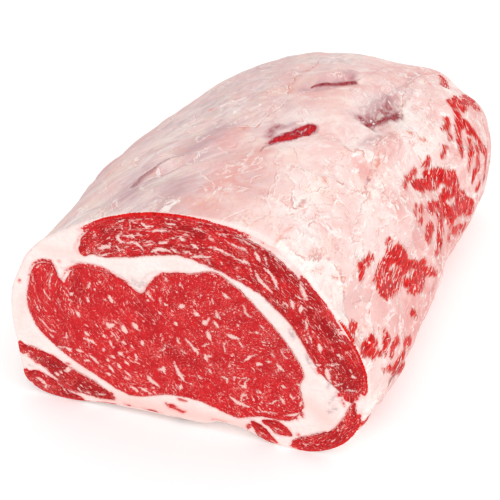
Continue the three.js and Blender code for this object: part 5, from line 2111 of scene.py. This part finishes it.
    def face(self, parts: MeshParts, end: End, rim: Array, loops: Sequence[Array]) -> None:
        """Adds one cut face of the fat between the outside's rim and the muscles.

        Args:
            parts: the mesh so far.
            end: which face.
            rim: the last ring of the outside, in place.
            loops: the muscles' outlines at this face, in place.
        """
        y, look = cut_place(self.roast, end)
        outer = rim[:, [0, 2]]
        holes = [loop[:, [0, 2]] for loop in loops]
        inner = scattered(outer, self.face_spacing, 0.55 * self.face_spacing, holes, 3)
        points, triangles = flat_mesh([outer, *holes], inner, holes)
        away = edge_distance(points, [outer, *holes])
        bumps = noise(lifted(points, y), 14.0, 31, 3)
        rise = (0.12 + 0.25 * bumps) * (1 - np.exp(-away / 2.0))
        placed = np.column_stack([points[:, 0], y + look * np.clip(rise, -0.5, 0.6), points[:, 1]])
        section = self.roast.unplaced(points, y)
        first = parts.add_points(placed, **self.face_marks(section, [muscle.loop() for muscle in self.muscles], y))
        parts.add_faces(first + (triangles if end is End.FRONT else triangles[:, ::-1]), 1)

    def build(self, effects: Effects) -> tuple[Array, dict[str, Array]]:
        """Makes the finished cover, and returns the rings of its outside with their marks."""
        parts = MeshParts()
        rings, marks = self.dressed_skin()
        parts.add_shell(rings, marks)
        fronts, backs = [], []
        for muscle in self.muscles:
            loop = muscle.loop()
            channel = []
            for depth in muscle.wall_depths:
                placed = self.roast.muscle_ring(loop, depth)
                start = parts.add_points(placed, **self.face_marks(loop, [], depth))
                channel.append(start + np.arange(len(loop)))
                if depth == 0.0:
                    fronts.append(placed)
                if depth == self.roast.length:
                    backs.append(placed)
            parts.add_wall(channel, 1, outward=False)
        self.face(parts, End.FRONT, rings[0], fronts)
        self.face(parts, End.BACK, rings[-1], backs)
        piece = parts.build(self.name, self.roast, [SkinFinish().build(effects), CutFatFinish().build(effects)])
        hand_over(piece, "fat", "fat_cover")
        return rings, marks


# ---------------------------------------------------------------- scraps that lie on the outside

def lay_scraps() -> NodeTree:
    """The node tree that scatters small flat lumps over a surface, where a mark asks for them.

    Returns:
        A geometry tree that gives the lumps alone. The input "Pick" says which part of the surface's attribute
        "shares" holds their share, and they point along its attribute "way".
    """
    graph, given, target = new_group(
        "Lay scraps", "Geometry",
        {"Geometry": "Geometry", "Pick": "Vector", "Density": "Float", "Length": "Float", "Width": "Float",
         "Thickness": "Float", "Waver": "Float", "Turn": "Float", "Seed": "Int", "Finish": "Material"},
        {"Geometry": "Geometry"},
    )
    shares = graph.node("GeometryNodeInputNamedAttribute", {"Name": "shares"}, data_type="FLOAT_VECTOR")
    picked = graph.node("ShaderNodeVectorMath", {0: shares.outputs["Attribute"], 1: given["Pick"]},
                        operation="DOT_PRODUCT")
    density = graph.times(given["Density"], picked.outputs["Value"])
    spread = graph.node("GeometryNodeDistributePointsOnFaces",
                        {"Mesh": given["Geometry"], "Density": density, "Seed": given["Seed"]})
    way = graph.node("GeometryNodeInputNamedAttribute", {"Name": "way"}, data_type="FLOAT_VECTOR")
    turn = graph.node("FunctionNodeRandomValue", {0: (-1.0, -1.0, -1.0), 1: (1.0, 1.0, 1.0), "Seed": given["Seed"]},
                      data_type="FLOAT_VECTOR")
    along = graph.vector_math("ADD", way.outputs["Attribute"], graph.scaled(turn.outputs[0], given["Turn"]))
    upright = graph.node("FunctionNodeAlignRotationToVector", {"Vector": spread.outputs["Normal"]}, axis="Z")
    turned = graph.node("FunctionNodeAlignRotationToVector", {"Rotation": upright.outputs[0], "Vector": along},
                        axis="X", pivot_axis="Z")
    smallest, largest = 0.35, 1.25
    chance = graph.node("FunctionNodeRandomValue", {2: smallest, 3: largest, "Seed": given["Seed"]},
                        data_type="FLOAT")
    size = graph.scaled(graph.joined(given["Length"], given["Width"], given["Thickness"]), chance.outputs[1])
    lump = graph.node("GeometryNodeMeshUVSphere", {"Segments": 8, "Rings": 5, "Radius": 1.0})
    placed = graph.node("GeometryNodeInstanceOnPoints",
                        {"Points": spread.outputs["Points"], "Instance": lump.outputs["Mesh"],
                         "Rotation": turned.outputs[0], "Scale": size})
    real = graph.node("GeometryNodeRealizeInstances", {"Geometry": placed.outputs[0]})
    place = graph.node("GeometryNodeInputPosition").outputs[0]
    bend = graph.node("ShaderNodeTexNoise", {"Vector": place, "Scale": 420.0, "Detail": 2.0}).outputs[1]
    centred = graph.vector_math("SUBTRACT", bend, (0.5, 0.5, 0.5))
    shift = graph.scaled(centred, given["Waver"])
    bent = graph.node("GeometryNodeSetPosition", {"Geometry": real.outputs[0], "Offset": shift})
    smooth = graph.node("GeometryNodeSetShadeSmooth", {"Geometry": bent.outputs[0]})
    dressed = graph.node("GeometryNodeSetMaterial", {"Geometry": smooth.outputs[0], "Material": given["Finish"]})
    graph.feed(target.inputs["Geometry"], dressed.outputs[0])
    return graph.tree


@dataclass(frozen=True)
class Scraps:
    """One kind of scrap scattered over the outside, with its half sizes in mm and its count per square mm."""

    name: str
    pick: Triple
    density: float
    length: float
    width: float
    thickness: float
    waver: float
    turn: float
    seed: int

    def build(self, host: Object, tree: NodeTree, finish: Material) -> Object:
        """The finished scraps.

        Args:
            host: the surface that they lie on, with its shares and its "way".
            tree: the node tree that lays them.
            finish: their material.
        """
        modifier = host.modifiers.new(self.name, "NODES")
        modifier.node_group = tree
        values = {
            "Pick": self.pick, "Density": self.density / MM ** 2, "Length": self.length * MM,
            "Width": self.width * MM, "Thickness": self.thickness * MM, "Waver": self.waver * MM,
            "Turn": self.turn, "Seed": self.seed, "Finish": finish,
        }
        for item in tree.interface.items_tree:
            if item.in_out == "INPUT" and item.name in values:
                modifier[item.identifier] = values[item.name]
        graph = bpy.context.evaluated_depsgraph_get()
        graph.update()
        mesh = bpy.data.meshes.new_from_object(host.evaluated_get(graph))
        host.modifiers.remove(modifier)
        mesh.name = self.name
        points = np.empty(3 * len(mesh.vertices), np.float32)
        mesh.vertices.foreach_get("co", points)
        mesh.vertices.foreach_set("co", np.clip(points.reshape(-1, 3), *CAD_BOX).astype(np.float32).ravel())
        piece = new_object(self.name, mesh)
        hand_over(piece, "fat")
        return piece


@dataclass
class Scatter:
    """All the scraps on the outside."""

    cover: FatCover
    rings: Array
    marks: dict[str, Array]
    kinds: Sequence[Scraps] = (
        Scraps("fat_flakes", (1, 0, 0), 0.016, 1.8, 0.8, 0.25, 2.4, 0.9, 4),
        Scraps("fat_strings", (0, 1, 0), 0.022, 3.0, 0.25, 0.15, 2.0, 0.4, 9),
    )

    def host(self) -> Object:
        """A copy of the outside that carries where scraps lie and which way they point."""
        rings = self.rings
        lean = self.marks["marks"][..., 0]
        membrane, crags, rim = np.moveaxis(self.marks["zones"], -1, 0)
        clumps = smoothstep(noise(rings, 16.0, 41, 3), 0.0, 0.6)
        above = smoothstep(rings[..., 2], 4.0, 9.0)
        bare = 1 - smoothstep(lean, -2.0, 0.0)
        flakes = crags * clumps * bare * above * (1 - rim) * (1 - membrane)
        strings = smoothstep(lean, -0.6, 0.6) * above * (1 - rim)
        ahead = np.gradient(rings, axis=0)
        around = np.roll(rings, -1, axis=1) - np.roll(rings, 1, axis=1)
        ahead /= np.linalg.norm(ahead, axis=-1, keepdims=True)
        around /= np.linalg.norm(around, axis=-1, keepdims=True)
        way = ahead + self.cover.strands.slope(rings[..., 1])[..., None] * around
        way /= np.linalg.norm(way, axis=-1, keepdims=True)
        parts = MeshParts()
        parts.add_shell(rings, {"shares": np.stack([flakes, strings, 0 * flakes], axis=-1), "way": way})
        return parts.build("scrap_host", self.cover.roast, [])

    def build(self, effects: Effects) -> None:
        """Lays every kind."""
        host, tree, finish = self.host(), lay_scraps(), ScrapFinish().build(effects)
        for kind in self.kinds:
            kind.build(host, tree, finish)
        mesh = host.data
        bpy.data.objects.remove(host)
        bpy.data.meshes.remove(mesh)


# ---------------------------------------------------------------- stage

@dataclass(frozen=True)
class Stage:
    """Pale floor, soft studio light and the camera."""

    floor_size: float = 30.0
    floor_drop: float = 0.0002
    floor_tones: tuple[Colour, Colour] = ((252, 252, 252), (254, 254, 254))
    floor_glow: float = 0.1
    floor_roughness: float = 0.8
    floor_specular: float = 0.1
    camera_place: Triple = (0.1860, -0.6001, 0.3918)
    azimuth: float = 19.02
    elevation: float = 30.04
    focal_length: float = 86.9
    sensor: float = 36.0
    nearest: float = 0.02
    world_strength: float = 0.74
    key_strength: float = 0.95
    fill_strength: float = 0.5
    softness: float = 1.2
    key_place: Triple = (0.7, -0.4, 1.3)
    fill_place: Triple = (0.1, -1.6, 0.7)

    def build(self) -> None:
        """Makes them all."""
        self.floor()
        self.lights()
        self.camera()
        view = bpy.context.scene.view_settings
        view.view_transform = "Standard"
        view.look = "None"

    def floor(self) -> None:
        """A plain pale floor."""
        half = self.floor_size / 2
        mesh = bpy.data.meshes.new("floor")
        corners = [(-half, -half, 0), (half, -half, 0), (half, half, 0), (-half, half, 0)]
        mesh.from_pydata(corners, [], [(0, 1, 2, 3)])
        floor = new_object("floor", mesh)
        floor.location.z = -self.floor_drop
        material, graph, shader = new_material("pale floor")
        place = graph.node("ShaderNodeTexCoord").outputs["Object"]
        colour = graph.blend(graph.noise(place, 3.0), *self.floor_tones)
        values = {
            "Base Color": colour, "Emission Color": colour, "Emission Strength": self.floor_glow,
            "Roughness": self.floor_roughness, "Specular IOR Level": self.floor_specular,
        }
        for name, value in values.items():
            graph.feed(shader.inputs[name], value)
        mesh.materials.append(material)

    def far_light(self, name: str, place: Triple, strength: float) -> None:
        """A soft distant light that falls on the roast from a place's side.

        Args:
            name: of the light.
            place: where it shines from.
            strength: of its light.
        """
        light = bpy.data.lights.new(name, "SUN")
        light.angle = self.softness
        light.energy = strength
        lamp = new_object(name, light)
        lamp.location = place
        lamp.rotation_euler = (-Vector(place)).to_track_quat("-Z", "Y").to_euler()

    def lights(self) -> None:
        """A white room with soft light from above on the right and a weaker one in front."""
        world = bpy.data.worlds.new("white room")
        world.use_nodes = True
        background = world.node_tree.nodes["Background"]
        background.inputs[0].default_value = (1, 1, 1, 1)
        background.inputs[1].default_value = self.world_strength
        bpy.context.scene.world = world
        self.far_light("key", self.key_place, self.key_strength)
        self.far_light("front fill", self.fill_place, self.fill_strength)

    def camera(self) -> None:
        """The camera, level and aimed down at the roast's front corner."""
        a, e = math.radians(self.azimuth), math.radians(self.elevation)
        right = Vector((math.cos(a), math.sin(a), 0))
        ahead = Vector((-math.sin(a) * math.cos(e), math.cos(a) * math.cos(e), -math.sin(e)))
        up = right.cross(ahead)
        turn = Matrix((right, up, -ahead)).transposed().to_4x4()
        lens = bpy.data.cameras.new("camera")
        lens.lens = self.focal_length
        lens.sensor_width = self.sensor
        lens.clip_start = self.nearest
        camera = new_object("camera", lens)
        camera.matrix_world = Matrix.Translation(self.camera_place) @ turn
        bpy.context.scene.camera = camera


# ---------------------------------------------------------------- the whole

def make_muscles(roast: Roast) -> list[Muscle]:
    """All the muscles, largest first.

    Args:
        roast: the form that they lie in.

    Returns:
        The muscles, not yet built.
    """
    eye = LeanFinish("eye lean")
    cap = LeanFinish("cap lean", bright=(221, 39, 43), deep=(160, 8, 16), shadow=(132, 6, 14), fat=(246, 204, 197),
                     haze=(236, 122, 116), big=(4.6, 1.1, 0.285), middle=(2.8, 0.9, 0.35), small=(1.2, 0.65, 0.455),
                     threads=(9.0, 2.2, 0.03, 0.46), small_share=0.65, mark_share=0.9, thinner=0.25,
                     dark_patches=0.3)
    strap = LeanFinish("strap lean", bright=(217, 38, 42), deep=(162, 8, 16), shadow=(130, 6, 14),
                       fat=(246, 204, 197), big=(3.8, 1.1, 0.28), middle=(2.4, 0.9, 0.345),
                       small=(1.2, 0.65, 0.44), threads=(7.0, 2.2, 0.024, 0.42), dark_patches=0.35)
    return [
        EyeMuscle("cut_eye_muscle", "eye_lean", roast, eye, EYE_FLECKS, EYE_SPOTS, seed=1),
        Strap("cut_cap_muscle", "cap_lean", roast, cap, CAP_FLECKS, CAP_SPOTS, seed=2, line=(
            (-38, 96.2, 3), (-33.5, 99.6, 6), (-25, 102.7, 8.8), (-14, 106.2, 10.2), (0, 110, 10.5), (14, 111.7, 9.9),
            (27, 110.3, 10.5), (39, 107.4, 11.4), (50, 103.6, 11.8), (60.3, 97.8, 11), (70.2, 88.8, 10.3),
            (78, 80.3, 9.8), (84.9, 69.6, 9.8), (91.8, 59.9, 10.5), (97, 51.7, 9.3), (99.8, 44.5, 6.6),
            (100.3, 38.6, 2.4),
        )),
        Strap("cut_tail_muscle", "cap_lean", roast, cap, seed=3, line=(
            (102.8, 35.8, 0.8), (102.1, 31, 2.1), (100.8, 25.2, 2.9), (98.1, 19.2, 3.3), (94, 13.3, 3.7),
            (88.5, 9.7, 3.9), (82.8, 7, 3.9), (77.3, 5.6, 3.2), (73.4, 4.8, 1.2),
        )),
        Strap("cut_back_strap_upper", "strap_lean", roast, strap, STRAP_FLECKS, STRAP_SPOTS, seed=4, line=(
            (-77, 28.6, 1.2), (-73, 27.6, 2.9), (-67.5, 24.8, 4.3), (-62, 21.8, 4.9), (-56, 18.2, 5.9),
            (-49, 14.4, 6.3), (-41, 12, 5.8), (-33, 9.7, 3.9), (-26.5, 7.6, 1.5),
        )),
        Strap("cut_back_strap_lower", "strap_lean", roast, strap, LOWER_FLECKS, seed=5, line=(
            (-75.4, 11.4, 1.1), (-71.5, 11.4, 3.4), (-66.5, 9.4, 4.3), (-61, 7.2, 4), (-56, 5, 2.6),
            (-50.5, 3.6, 1.6), (-46, 2.9, 0.9),
        )),
        Strap("cut_rib_finger_inner", "strap_lean", roast, strap, seed=6, line=(
            (57, 13.5, 0.8), (60.8, 12.8, 2.1), (65, 11, 3.2), (69, 9.4, 2.1), (71.2, 8.7, 0.8),
        )),
        Strap("cut_rib_finger_outer", "strap_lean", roast, strap, seed=7, line=(
            (51, 11.2, 0.8), (53.4, 8.9, 2.2), (56.2, 6.6, 2.7), (59.2, 4.9, 1.9), (61.8, 3.7, 0.8),
        )),
    ]


def main() -> None:
    """Builds the roast and its stage, and notes the sizes."""
    logging.basicConfig(level=logging.INFO, format="%(name)s: %(message)s")
    roast = Roast()
    effects = Effects()
    muscles = make_muscles(roast)
    for muscle in muscles:
        muscle.build(effects)
    cover = FatCover(roast, muscles)
    rings, marks = cover.build(effects)
    Scatter(cover, rings, marks).build(effects)
    Stage().build()


if __name__ == "__main__":
    main()
